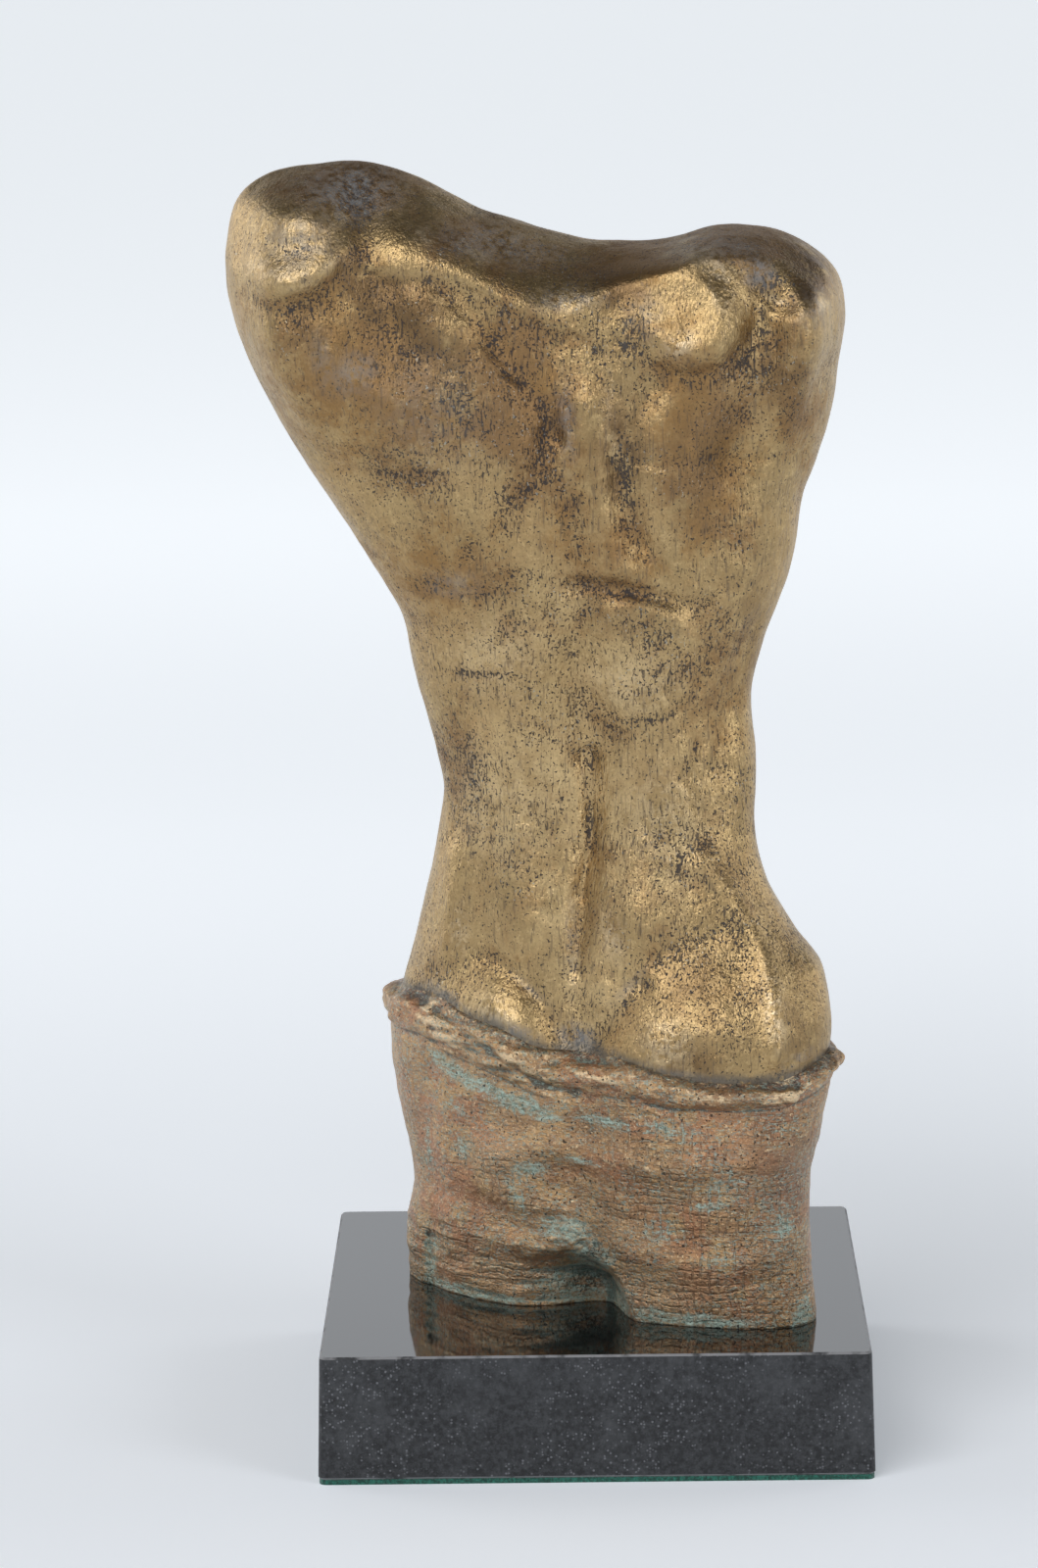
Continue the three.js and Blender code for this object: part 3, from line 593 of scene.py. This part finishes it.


# Verdigris, and bright rubs with painted highlights, on the cloth, where the photograph has them
GREEN_SPOTS = [
    (1, (-13.2, 22), (2.6, 0.9), -30), (1, (-9, 20.2), (3.6, 1), -20),
    (1, (-4.6, 18.7), (3.6, 1), -16), (1, (-11.5, 20.9), (5.6, 1.5), -22),
    (1, (-6, 19), (5.4, 1.5), -14), (0.8, (0.5, 18.4), (5, 0.9), -3), (1, (-2.4, 7.6), (3.8, 2.4), -22),
    (1.3, (-0.2, 5.4), (2.8, 3.2), 30), (1, (-2.2, 2.4), (6.2, 2.8)), (1, (2.2, 1.6), (1.8, 3.4)),
    (1, (-14.6, 3.2), (1, 5.2)), (0.8, (-10, 0.5), (6, 0.9)), (0.8, (9, 0.6), (8, 1)),
    (0.7, (18, 1), (1.4, 2.6)), (0.8, (-5.5, 13.4), (2.6, 1.5)), (0.6, (-1.6, 14.6), (5, 0.8), -10),
    (0.55, (-12.6, 17.6), (3.4, 2.2), 30), (0.6, (9.5, 11.2), (4.6, 0.8), 14), (0.5, (10, 6.2), (5, 0.8), 2),
    (0.5, (6.5, 18.2), (4.5, 1.2), -4), (0.5, (-11.4, 14), (1.4, 3)), (0.6, (-14.6, 13.5), (0.8, 7)),
    (0.5, (-6.6, 10.4), (1, 3), 25), (0.5, (5.8, 8.6), (3.4, 3)), (0.45, (12, 14), (4, 2.4)),
    (0.5, (16.5, 9), (2, 4)), (0.6, (4.8, 0.9), (2.2, 1.4)),
]
RUB_AND_HIGHLIGHT_SPOTS = [
    (1, (-13.8, 26.4), (2.2, 1), -30), (0.9, (-7.2, 23.2), (2.4, 1), -25),
    (1, (-2.8, 21), (2, 1), -15), (0.9, (-12.6, 24.2), (4.2, 1.2), -30),
    (1, (-5, 21.8), (3.4, 1), -16), (0.6, (1.5, 22.3), (4, 0.9), -4), (0.6, (9, 21.4), (5, 0.7), -2),
    (0.9, (16.6, 21.6), (3.2, 1.4), 18), (0.4, (-10, 13.6), (4, 1.6), -8), (0.6, (-9.4, 3.6), (3.2, 1.1), 6),
    (0.5, (8.4, 2.2), (3.2, 2.4), 30), (0.35, (-2, 17), (5, 1.2)),
]

# Where the cloth is redder, and where painted shade and painted light lie on it
WARM_SPOTS = [
    (1, (-10, 5.5), (6, 3.4), 8), (0.9, (-13.6, 12), (3, 7)), (0.6, (-9, 15.5), (5, 3), -20),
    (0.8, (16, 14), (3.6, 7)), (0.8, (10.5, 17.6), (6, 2.2)), (0.5, (4, 12), (4, 4)),
    (0.8, (4.5, 20.8), (4.5, 0.9), -4), (0.9, (-12.8, 23.6), (2, 1.2), -30), (0.8, (8.4, 3), (4, 2)),
    (0.6, (15.5, 4), (3, 3)),
]
CLOTH_SHADE_SPOTS = [
    (1.1, (16.5, 13), (5, 13)), (0.7, (14, 22), (6, 2.6)), (0.4, (-15.5, 13), (2.2, 9)), (0.3, (3, 19), (6, 3)),
]
CLOTH_LIGHT_SPOTS = [
    (0.9, (-6, 2.6), (10, 3.4)), (0.9, (4.5, 3), (9, 4)), (0.5, (-8, 14), (5, 4)), (0.5, (1, 8), (4, 4)),
]

# Painted shade that turns the verdigris nearly black inside the scoop and the left slot
HOLLOW_SHADE_SPOTS = [
    (1.6, (-0.7, 2), (3, 1.3)), (1.3, (0.3, 6), (2.1, 1.5), -30), (1.5, (-14.7, 5.2), (0.6, 1.8)),
]


def rolled_cloth():
    """The cloth: its wrinkled skin, with the rolled upper edge tucked in against the body."""
    front_columns = 116
    angles = ring(384, front_columns)
    flat = np.linspace(0, 1, 132)
    crest = np.linspace(0, 1, 34)[1:]
    z, offset, across, side, hem, roll = trunk(
        angles, lambda h, r: [(h - r) * s for s in flat] + [h - r * (1 - s) for s in crest] + [h + 0.05, h + 0.1]
    )
    offset[-2], offset[-1] = -0.35, -0.9
    grid = trunk_skin(z, offset, across, side)
    n = normals(grid)
    behind = smooth(-0.3, 0.4, -n[..., 1])
    right, up = grid[..., 0] / SHARE, (grid[..., 2] - TORSO_FOOT) / SHARE
    drop = hem - z
    on_roll = smooth(1.15, 0.75, drop / roll) * smooth(-0.05, 0.1, drop / roll)
    # How far round the cloth each column is, in millimetres from the front's middle, for the weave
    level = grid[40]  # any row well below the roll
    step = np.linalg.norm(np.roll(level, -1, 0) - level, axis=1)
    round_way = np.concatenate([[0], np.cumsum(step)[:-1]])
    round_way = (round_way - round_way[front_columns // 2]) % step.sum()
    printed = smooth(-0.3, 0.45, noise(grid, (17, 17, 13), 15) + 0.5 * smooth(-4, 20, grid[..., 0]))
    printed *= smooth(24, 18, up) * (0.35 + 0.65 * behind)
    # Wrinkles that run round the hips, strongest low on the left, and lumps
    lower_left = smooth(12, 4, up) * smooth(2, -6, right)
    wrinkles = noise(grid, (16, 16, 2.6), 18) + 0.6 * noise(grid, (11, 11, 1.6), 19)
    lumps = 0.28 * layers(grid, (13, 13, 9), 3, 20)
    ragged = on_roll * (1.25 * layers(grid, (19, 19, 8), 3, 23) + 0.15 * noise(grid, (2.6, 2.6, 5.0), 24))
    torn = on_roll * smooth(4, -4, right) * 0.9 * layers(grid, (9, 9, 3.6), 2, 33)
    gather = on_roll * smooth(13, 18, right) * 0.9 * noise(turned(grid, -20), (2.4, 4, 14), 26)
    shift = 0.16 * wrinkles * (0.45 + 2.2 * lower_left) + lumps + ragged + torn + gather
    # The rough patch above the scoop
    rough = pad(1.0, (-1.8, 6.8), (4.6, 2.8), -28)(right, up) * behind
    shift = shift + rough * 0.7 * layers(grid, (3.2, 3.2, 2.4), 2, 28)
    # The foot stays level, and the last two rows stay tucked in
    hold = smooth(0, 3, np.arange(len(grid)))[:, None]
    foot_edge = 0.35 * noise(grid, (5, 5, 200), 30) * smooth(3, 0, up)
    shift = shift * (0.25 + 0.75 * hold) + foot_edge
    shift[-2:] = 0
    moved = n * shift[..., None]
    moved[..., 2] *= smooth(0, 2.5, up)
    grid = grid + moved
    grid[0, :, 2] = TORSO_FOOT
    fine = hollows(grid, 4)
    wide = hollows(grid, 24)
    fields = {
        "hollow": np.clip(fine * 9, -1, 1) * (0.3 + 0.7 * behind),
        "deep": np.clip((wide - np.median(wide)) * 1.4, -1, 1) * (0.2 + 0.8 * behind),
        "green": place_mask(GREEN_SPOTS, grid),
        "rub": place_mask(RUB_AND_HIGHLIGHT_SPOTS, grid),
        "round": np.broadcast_to(round_way, z.shape),
        "lip": smooth(0.24, 0.02, drop / roll + 0.12 * noise(grid, (6, 6, 3), 31)),
        "printed": printed,
        "warm": place_mask(WARM_SPOTS, grid),
        "shade": place_mask(CLOTH_SHADE_SPOTS, grid),
        "light": place_mask(CLOTH_LIGHT_SPOTS, grid),
        "pool": place_mask(HOLLOW_SHADE_SPOTS, grid),
        "roll": np.broadcast_to(on_roll, z.shape),
        "foot": smooth(6, 0, grid[..., 2] - TORSO_FOOT),
    }
    return mesh_object("rolled_cloth", grid, grid[-1].mean(0), grid[0].mean(0), fields)


class Paint:
    """Builds a material from nodes: each call makes one node and returns the output that is wanted."""

    def __init__(self, name):
        self.material = bpy.data.materials.new(name)
        self.material.use_nodes = True
        self.tree = self.material.node_tree
        self.shader = self.tree.nodes["Principled BSDF"]
        self.place = self.node("ShaderNodeTexCoord").outputs["Object"]

    def node(self, kind, sockets={}, **settings):
        """A node with its settings made and its input sockets linked or set, by name or number."""
        made = self.tree.nodes.new(kind)
        for key, value in settings.items():
            setattr(made, key, value)
        for key, value in sockets.items():
            self.put(made.inputs[key], value)
        return made

    def put(self, socket, value):
        if isinstance(value, bpy.types.NodeSocket):
            self.tree.links.new(value, socket)
        elif isinstance(value, tuple) and len(value) == 3 and len(socket.default_value) == 4:
            socket.default_value = (*value, 1)
        else:
            socket.default_value = value

    def math(self, operation, a, b=0.0, clamp=False):
        return self.node("ShaderNodeMath", {0: a, 1: b}, operation=operation, use_clamp=clamp).outputs[0]

    def add(self, *terms):
        """Sum of the terms; a tuple is a product."""
        terms = [self.times(*term) if isinstance(term, tuple) else term for term in terms]
        out = terms[0]
        for term in terms[1:]:
            out = self.math("ADD", out, term)
        return out

    def times(self, *values):
        out = values[0]
        for value in values[1:]:
            out = self.math("MULTIPLY", out, value)
        return out

    def stretch(self, scale, turn=(0, 0, 0)):
        """The place, scaled along each axis and turned, for noise that runs in lines."""
        sockets = {"Vector": self.place, "Scale": scale, "Rotation": turn}
        return self.node("ShaderNodeMapping", sockets).outputs[0]

    def noise(self, scale, detail=3.0, roughness=0.55, at=None, warp=0.0):
        sockets = {"Vector": at or self.place, "Scale": scale, "Detail": detail, "Roughness": roughness,
                   "Distortion": warp}
        return self.node("ShaderNodeTexNoise", sockets).outputs["Fac"]

    def cells(self, scale):
        """Distance to the nearest of scattered points, and a random value for each."""
        made = self.node("ShaderNodeTexVoronoi", {"Vector": self.place, "Scale": scale})
        pick = self.node("ShaderNodeSeparateColor", {0: made.outputs["Color"]})
        return made.outputs["Distance"], pick.outputs[0]

    def band(self, value, low, high):
        """0 below low, 1 above high, smooth between; low may be the larger."""
        sockets = {"Value": value, "From Min": low, "From Max": high}
        return self.node("ShaderNodeMapRange", sockets, interpolation_type="SMOOTHSTEP").outputs[0]

    def mix(self, factor, a, b):
        """Colour from a to b; a factor that is a tuple is a product."""
        factor = self.times(*factor) if isinstance(factor, tuple) else factor
        return self.node("ShaderNodeMix", {"Factor": factor, 6: a, 7: b}, data_type="RGBA").outputs[2]

    def blend(self, factor, a, b):
        """Value from a to b."""
        return self.node("ShaderNodeMix", {"Factor": factor, 2: a, 3: b}, data_type="FLOAT").outputs[0]

    def field(self, name):
        """A value that the mesh carries at its points."""
        return self.node("ShaderNodeAttribute", attribute_name=name).outputs["Fac"]

    def bump(self, height, distance, strength=1.0, under=None):
        sockets = {"Height": height, "Distance": distance, "Strength": strength}
        if under is not None:
            sockets["Normal"] = under
        return self.node("ShaderNodeBump", sockets).outputs[0]

    def finish(self, **sockets):
        for name, value in sockets.items():
            self.put(self.shader.inputs[name.replace("_", " ")], value)
        return self.material


def bronze_material():
    """Rubbed golden bronze: fine grain, hair scratches, dark pits and brush marks, brown patina in the hollows,
    rubbed spots with painted highlights, painted light and shade.
    """
    p = Paint("rubbed_bronze")
    # Grain and marks, from broad to fine
    patch = p.noise(38, 3, 0.6)
    tone = p.noise(170, 4, 0.6)
    grain = p.noise(1500, 2, 0.65)
    coarse = p.noise(620, 4, 0.68)
    region = p.band(p.noise(20, 1, 0.5), 0.46, 0.54)
    left = p.stretch((1, 1, 0.10), (0, math.radians(38), 0))
    right = p.stretch((1, 1, 0.10), (0, math.radians(-30), 0))
    upright = p.stretch((1, 1, 0.20))
    hairs = p.blend(region, p.noise(1600, 1, 0.5, at=left), p.noise(1600, 1, 0.5, at=right))
    marks = p.blend(p.band(p.noise(34, 1, 0.5), 0.42, 0.58), p.noise(2000, 2, 0.55, at=upright),
                    p.noise(1900, 2, 0.55, at=p.stretch((1, 1, 0.22), (0, math.radians(30), 0))))
    load = p.add((p.math("SUBTRACT", patch, 0.5), 0.45), (p.field("dark"), 0.15),
                 (p.field("hollow"), 0.045), (p.field("deep"), 0.02))
    dashes = p.band(p.add(marks, (load, 0.8)), 0.62, 0.68)
    small = p.band(p.add(p.noise(1650, 1, 0.5), (load, 0.7)), 0.645, 0.685)
    large = p.band(p.add(p.noise(560, 3, 0.7), (load, 0.9)), 0.685, 0.72)
    pits = p.math("MAXIMUM", small, large)
    worn = p.band(p.add((p.noise(120, 5, 0.7), 0.6), (coarse, 0.4), (load, 0.6),
                       (p.field("brown"), 0.29)), 0.48, 0.74)
    # The rubbed gold, the brown patina over it, rubbed spots with painted highlights, and painted light and shade
    gold = p.mix(p.band(p.noise(30, 3, 0.6), 0.42, 0.60), (0.44, 0.307, 0.145), (0.49, 0.337, 0.16))
    gold = p.mix((p.band(tone, 0.45, 0.68), 0.6), gold, (0.555, 0.395, 0.19))
    gold = p.mix((p.band(coarse, 0.53, 0.63), 0.45), gold, (0.76, 0.555, 0.28))
    brown = p.mix(p.band(patch, 0.42, 0.58), (0.33, 0.187, 0.07), (0.27, 0.155, 0.07))
    # Rubbed high places, lightened further by a painted highlight
    rubbed_and_highlight = p.times(p.field("rubbed_and_highlight"), p.band(p.add(coarse, (tone, 0.5)), 0.66, 0.80))
    colour = p.mix((worn, p.math("SUBTRACT", 0.85, p.times(rubbed_and_highlight, 0.6))), gold, brown)
    colour = p.mix((rubbed_and_highlight, 0.6), colour, (0.80, 0.65, 0.45))
    # Painted light, then painted shade
    colour = p.mix((p.field("light"), p.band(tone, 0.28, 0.58), 0.78), colour, (0.79, 0.585, 0.305))
    colour = p.mix((p.field("shade"), p.band(tone, 0.72, 0.42), 0.85), colour, (0.215, 0.135, 0.065))
    # Grain, scratches, pits, grey silt, grey silt and painted shade just above the cloth, and pale specks
    colour = p.mix((p.band(grain, 0.50, 0.38), 0.2), colour, (0.17, 0.12, 0.075))
    colour = p.mix((p.band(hairs, 0.60, 0.65), 0.4), colour, (0.12, 0.095, 0.075))
    streaks = p.noise(420, 3, 0.6, at=p.stretch((1, 1, 0.12)))
    colour = p.mix((p.band(streaks, 0.56, 0.42), 0.08), colour, (0.16, 0.11, 0.065))
    dark = p.math("MAXIMUM", p.times(dashes, 0.85), pits)
    colour = p.mix((dark, 0.92), colour, (0.046, 0.041, 0.042))
    silt = p.times(p.field("grey"), p.band(p.noise(420, 5, 0.7), 0.36, 0.60))
    colour = p.mix((silt, 0.85), colour, (0.255, 0.26, 0.262))
    # A dark grey band just above the cloth, where it meets the body: grey silt and painted shade
    crease_silt_and_shade = p.times(p.field("crease_silt_and_shade"), p.band(p.noise(380, 4, 0.7), 0.30, 0.50))
    colour = p.mix((crease_silt_and_shade, 0.75), colour, (0.135, 0.135, 0.13))
    specks = p.times(p.band(p.noise(1250, 2, 0.6), 0.655, 0.69), p.band(patch, 0.50, 0.60))
    colour = p.mix((specks, 0.6), colour, (0.43, 0.45, 0.41))
    metal = p.math("SUBTRACT", 1.0, p.add((dark, 0.4), (silt, 0.7)), clamp=True)
    rough = p.add(0.31, (rubbed_and_highlight, -0.05), (coarse, 0.12), (dark, 0.2), (silt, 0.2), (worn, 0.12))
    height = p.add((grain, 0.55), (coarse, 1.0), (hairs, -0.5), (marks, -0.9), (dark, -0.8))
    normal = p.bump(p.noise(260, 3, 0.6), 0.00038, 1.0)
    normal = p.bump(height, 0.00017, 1.0, under=normal)
    return p.finish(Base_Color=colour, Metallic=metal, Roughness=rough, Normal=normal)


def cloth_material():
    """The cast cloth: red and olive browns, gold rubs with painted highlights, blue-green verdigris where it lies
    deep, painted light and shade.
    """
    p = Paint("cast_cloth")
    patch = p.noise(48, 3, 0.6)
    tone = p.noise(240, 5, 0.68)
    grain = p.noise(1700, 2, 0.6)
    coarse = p.noise(760, 4, 0.68)
    fine = p.noise(1300, 4, 0.7)
    streak = p.noise(430, 4, 0.65, at=p.stretch((1, 1, 3.2)))
    # Threads of the weave: thin lines both ways, pulled askew, broken and worn
    heights = p.node("ShaderNodeSeparateXYZ", {0: p.place})
    around = p.add(p.field("round"), (p.noise(45, 2, 0.5), 5.0), (p.noise(300, 1, 0.5), 1.6))
    upward = p.add((heights.outputs["Z"], 1000.0), (p.noise(52, 2, 0.5), 5.0), (p.noise(310, 1, 0.5), 1.4))
    line_u = p.band(p.math("PINGPONG", p.times(around, 1 / THREAD_GAP_ROUND), 0.5), 0.20, 0.08)
    line_v = p.band(p.math("PINGPONG", p.times(upward, 1 / THREAD_GAP_UP), 0.5), 0.20, 0.08)
    line_u = p.times(line_u, p.band(p.noise(200, 2, 0.6), 0.42, 0.52))
    line_v = p.times(line_v, p.band(p.noise(210, 2, 0.6, warp=0.3), 0.57, 0.47))
    thread = p.times(p.math("MAXIMUM", line_u, line_v), p.field("printed"))
    # Browns and reds, painted light and shade, gold rubs with painted highlights
    base = p.mix(p.band(patch, 0.44, 0.58), (0.46, 0.275, 0.135), (0.49, 0.245, 0.125))
    base = p.mix(p.band(p.noise(150, 4, 0.6), 0.48, 0.60), base, (0.56, 0.35, 0.165))
    warm = p.times(p.field("warm"), p.band(p.noise(130, 4, 0.65), 0.36, 0.56))
    base = p.mix((warm, 0.75), base, (0.58, 0.275, 0.135))
    base = p.mix((p.band(streak, 0.46, 0.62), 0.6), base, (0.27, 0.16, 0.10))
    base = p.mix((p.band(fine, 0.46, 0.39), 0.35), base, (0.17, 0.12, 0.085))
    base = p.mix((p.band(coarse, 0.54, 0.64), 0.45), base, (0.78, 0.55, 0.32))
    # Painted light, then painted shade
    base = p.mix((p.field("light"), p.band(fine, 0.30, 0.56), 0.75), base, (0.82, 0.54, 0.31))
    base = p.mix((p.field("shade"), 0.5), base, (0.19, 0.125, 0.085))
    # Gold rubs on high places, with a painted highlight on them
    rub = p.band(p.add((p.field("hollow"), -0.15), (p.field("rub"), 0.30), (coarse, 0.6), (tone, 0.5)), 0.66, 0.82)
    colour = p.mix(rub, base, (0.80, 0.59, 0.36))
    # Painted shade, dark teal, in the deep folds and hollows and a little under the roll
    depth = p.band(p.add((p.field("deep"), 0.42), (p.field("hollow"), 0.30), (coarse, 0.6),
                         (p.field("roll"), 0.06)), 0.62, 0.90)
    colour = p.mix((depth, 0.8), colour, (0.045, 0.055, 0.052))
    # A dark grey band along the roll's upper edge, where it tucks against the body: grey silt and painted shade
    colour = p.mix((p.field("lip"), p.band(coarse, 0.66, 0.40), 0.8), colour, (0.11, 0.112, 0.11))
    colour = p.mix((thread, p.band(fine, 0.70, 0.40), 0.38), colour, (0.10, 0.075, 0.055))
    # Verdigris: pale where it is thick, darkened by painted shade in the hollows, nearly black with painted shade
    # inside the scoop and the left slot
    crumbs = p.band(p.add((fine, 0.5), (streak, 0.5)), 0.40, 0.56)
    pale = p.mix(crumbs, (0.085, 0.155, 0.125), (0.44, 0.56, 0.48))
    low = p.band(p.add(p.field("hollow"), (fine, 0.6)), 0.55, 1.15)
    pale = p.mix((low, 0.6), pale, (0.03, 0.062, 0.053))
    pale = p.mix((p.field("pool"), p.band(fine, 0.62, 0.42)), pale, (0.012, 0.028, 0.024))
    wet = p.add((p.field("green"), 0.34), (p.field("hollow"), 0.12), (thread, 0.08),
                (p.field("foot"), 0.11), (fine, 0.45), (streak, 0.3),
                (p.noise(120, 3, 0.6), 0.35))
    flecks = p.band(p.noise(950, 4, 0.75, at=p.stretch((1, 1, 2.0))), 0.505, 0.60)
    flecks = p.times(flecks, p.band(p.noise(75, 3, 0.6), 0.30, 0.54), 0.8)
    crust = p.band(p.noise(620, 4, 0.72, at=p.stretch((1, 1, 1.7))), 0.42, 0.56)
    green = p.times(p.band(wet, 0.64, 0.80), p.add(0.40, (crust, 0.55)))
    # Pale gold flecks: painted glints
    colour = p.mix((p.band(p.noise(1450, 2, 0.6), 0.63, 0.69), 0.7), colour, (0.86, 0.66, 0.40))
    colour = p.mix(flecks, colour, (0.31, 0.40, 0.35))
    colour = p.mix((green, 0.97), colour, pale)
    pit = p.math("MAXIMUM", p.band(p.noise(1300, 1, 0.5), 0.665, 0.71), p.band(p.noise(420, 3, 0.7), 0.695, 0.73))
    colour = p.mix((pit, 0.85), colour, (0.035, 0.032, 0.030))
    metal = p.math("SUBTRACT", p.add(0.72, (rub, 0.28)), p.add((green, 0.7), (depth, 0.4)), clamp=True)
    rough = p.add(0.32, (green, 0.35), (rub, -0.06), (tone, 0.12))
    height = p.add((grain, 0.4), (coarse, 1.2), (streak, 0.8), (pit, -1.0), (thread, -0.8))
    normal = p.bump(tone, 0.0010, 1.0)
    normal = p.bump(height, 0.00032, 1.0, under=normal)
    return p.finish(Base_Color=colour, Metallic=metal, Roughness=rough, Normal=normal)


def stone_material():
    """Black granite: mirror polish on top, sawn and speckled sides, a worn pale arris between them."""
    p = Paint("black_granite")
    facing = p.node("ShaderNodeSeparateXYZ", {0: p.node("ShaderNodeNewGeometry").outputs["Normal"]})
    upward = p.band(facing.outputs["Z"], 0.90, 0.97)
    level = p.math("ABSOLUTE", facing.outputs["Z"])
    arris = p.times(p.band(level, 0.15, 0.4), p.band(level, 0.95, 0.8))
    grain = p.noise(900, 4, 0.7)
    speck, pick = p.cells(1500)
    fleck = p.times(p.band(pick, 0.72, 0.92), p.band(speck, 0.55, 0.25), p.band(p.noise(55, 3, 0.6), 0.32, 0.60))
    smudge = p.band(p.noise(70, 4, 0.65), 0.46, 0.66)
    side = p.mix(p.band(grain, 0.35, 0.7), (0.012, 0.0125, 0.014), (0.046, 0.048, 0.052))
    side = p.mix((smudge, 0.35), side, (0.078, 0.082, 0.088))
    side = p.mix((fleck, 0.8), side, (0.17, 0.175, 0.19))
    top = p.mix((fleck, 0.5), (0.005, 0.0052, 0.0056), (0.04, 0.041, 0.043))
    colour = p.mix(upward, side, top)
    wear = p.times(arris, p.band(p.noise(160, 4, 0.6), 0.30, 0.52))
    colour = p.mix((wear, 0.8), colour, (0.30, 0.30, 0.31))
    rough = p.blend(upward, p.add(0.42, (grain, 0.2)), p.add(0.025, (p.noise(60, 3, 0.6), 0.05)))
    normal = p.bump(p.times(grain, p.math("SUBTRACT", 1.0, upward)), 0.0002, 0.5)
    return p.finish(Base_Color=colour, Roughness=rough, Normal=normal, Specular_IOR_Level=p.blend(upward, 0.42, 1.0))


def felt_material():
    """Deep green felt: short fibres, lighter where they stand up."""
    p = Paint("green_felt")
    fibre = p.noise(1600, 3, 0.7)
    colour = p.mix(p.band(fibre, 0.35, 0.7), (0.003, 0.042, 0.030), (0.022, 0.17, 0.12))
    normal = p.bump(fibre, 0.0005, 0.9)
    return p.finish(Base_Color=colour, Roughness=1.0, Normal=normal, Sheen_Weight=0.4)


def dress(node, material):
    """Gives a solid of the frame its material."""
    mesh = frame["nodes"][node].data
    mesh.materials.clear()
    mesh.materials.append(material)


body = bronze_body()
body.data.materials.append(bronze_material())
cloth = rolled_cloth()
cloth.data.materials.append(cloth_material())
for piece in (body, cloth):
    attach(piece, "root")
    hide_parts("bronze_torso")
dress("plinth", stone_material())
dress("felt_pad", felt_material())


def camera():
    """The photograph's view: a little above the shoulders, looking slightly down at the figure's back."""
    # Fitted to the plinth's corners and edges in the photograph
    pitch, yaw, roll = math.radians(10.977), math.radians(-0.723), math.radians(-0.838)
    place = (0.0, -1.3301, 0.4135)
    focal_px, photo_height_px = 5712.2, 1600
    ahead = Vector((math.sin(yaw) * math.cos(pitch), math.cos(yaw) * math.cos(pitch), -math.sin(pitch)))
    level = Vector((math.cos(yaw), -math.sin(yaw), 0))
    rise = level.cross(ahead)
    right = level * math.cos(roll) + rise * math.sin(roll)
    up = rise * math.cos(roll) - level * math.sin(roll)
    data = bpy.data.cameras.new("camera")
    data.sensor_width = 36
    data.lens = focal_px / photo_height_px * data.sensor_width
    made = bpy.data.objects.new("camera", data)
    made.matrix_world = Matrix((
        (right.x, up.x, -ahead.x, place[0]),
        (right.y, up.y, -ahead.y, place[1]),
        (right.z, up.z, -ahead.z, place[2]),
        (0, 0, 0, 1),
    ))
    bpy.context.scene.collection.objects.link(made)
    bpy.context.scene.camera = made


def softbox(name, place, target, size, power, colour=(1, 1, 1)):
    """A soft rectangular lamp at a place, aimed at a target."""
    data = bpy.data.lights.new(name, "AREA")
    data.shape = "RECTANGLE"
    data.size, data.size_y = size
    data.energy = power
    data.color = colour
    made = bpy.data.objects.new(name, data)
    made.location = place
    made.rotation_mode = "QUATERNION"
    made.rotation_quaternion = (Vector(target) - Vector(place)).to_track_quat("-Z", "Y")
    bpy.context.scene.collection.objects.link(made)


def studio():
    """A pale floor that reaches past the picture's upper edge and grows a little brighter away from the piece."""
    mesh = bpy.data.meshes.new("floor")
    reach = 12.0
    corners = [(-reach, -reach, 0), (reach, -reach, 0), (reach, reach, 0), (-reach, reach, 0)]
    mesh.from_pydata(corners, [], [(0, 1, 2, 3)])
    floor = bpy.data.objects.new("floor", mesh)
    bpy.context.scene.collection.objects.link(floor)
    p = Paint("pale_floor")
    place = p.node("ShaderNodeSeparateXYZ", {0: p.place})
    away = place.outputs["Y"]
    far = p.math("MAXIMUM", p.math("ABSOLUTE", place.outputs["X"]), p.times(away, -1.0))
    glow = p.add(0.20, (p.band(far, 1.0, 2.6), p.band(away, 1.0, -0.2), 0.12),
                 (p.band(away, -0.05, 0.75), 0.27), (p.band(away, 0.75, 1.6), 0.19))
    p.finish(Base_Color=(0.85, 0.885, 0.94), Roughness=0.9, Emission_Color=(0.93, 0.97, 1.0), Emission_Strength=glow)
    mesh.materials.append(p.material)


def world():
    """The room: bright low down behind the piece, dimmer low down in front, dark overhead."""
    made = bpy.data.worlds.new("studio")
    bpy.context.scene.world = made
    made.use_nodes = True
    tree = made.node_tree

    def node(kind, *inputs, **values):
        out = tree.nodes.new(kind)
        for key, value in values.items():
            setattr(out, key, value)
        for socket, value in zip(out.inputs, inputs):
            if isinstance(value, bpy.types.NodeSocket):
                tree.links.new(value, socket)
            else:
                socket.default_value = value
        return out.outputs[0]

    split = tree.nodes.new("ShaderNodeSeparateXYZ")
    tree.links.new(tree.nodes.new("ShaderNodeTexCoord").outputs["Generated"], split.inputs[0])
    low = node("ShaderNodeMapRange", split.outputs["Z"], 0.55, 0.28, interpolation_type="SMOOTHSTEP")
    behind = node("ShaderNodeMapRange", split.outputs["Y"], 0.0, 0.7, interpolation_type="SMOOTHSTEP")
    level = node("ShaderNodeMath", behind, 0.56, 0.36, operation="MULTIPLY_ADD")
    level = node("ShaderNodeMath", low, level, 0.10, operation="MULTIPLY_ADD")
    backdrop = tree.nodes["Background"]
    backdrop.inputs[0].default_value = (0.92, 0.955, 1.0, 1)
    tree.links.new(level, backdrop.inputs[1])


camera()
studio()
world()
softbox("key", (-0.75, -1.25, 1.4), (0, 0, 0.2), (1.5, 1.1), 18.5)
softbox("fill", (1.3, -1.1, 0.8), (0, 0, 0.15), (0.7, 0.8), 7, (0.95, 0.97, 1))
softbox("left", (-1.5, 0.6, 0.7), (0, 0, 0.15), (0.8, 1.0), 4.5)
softbox("right", (1.5, 0.6, 0.7), (0, 0, 0.15), (0.8, 1.0), 3.2)
bpy.context.scene.view_settings.view_transform = "Standard"
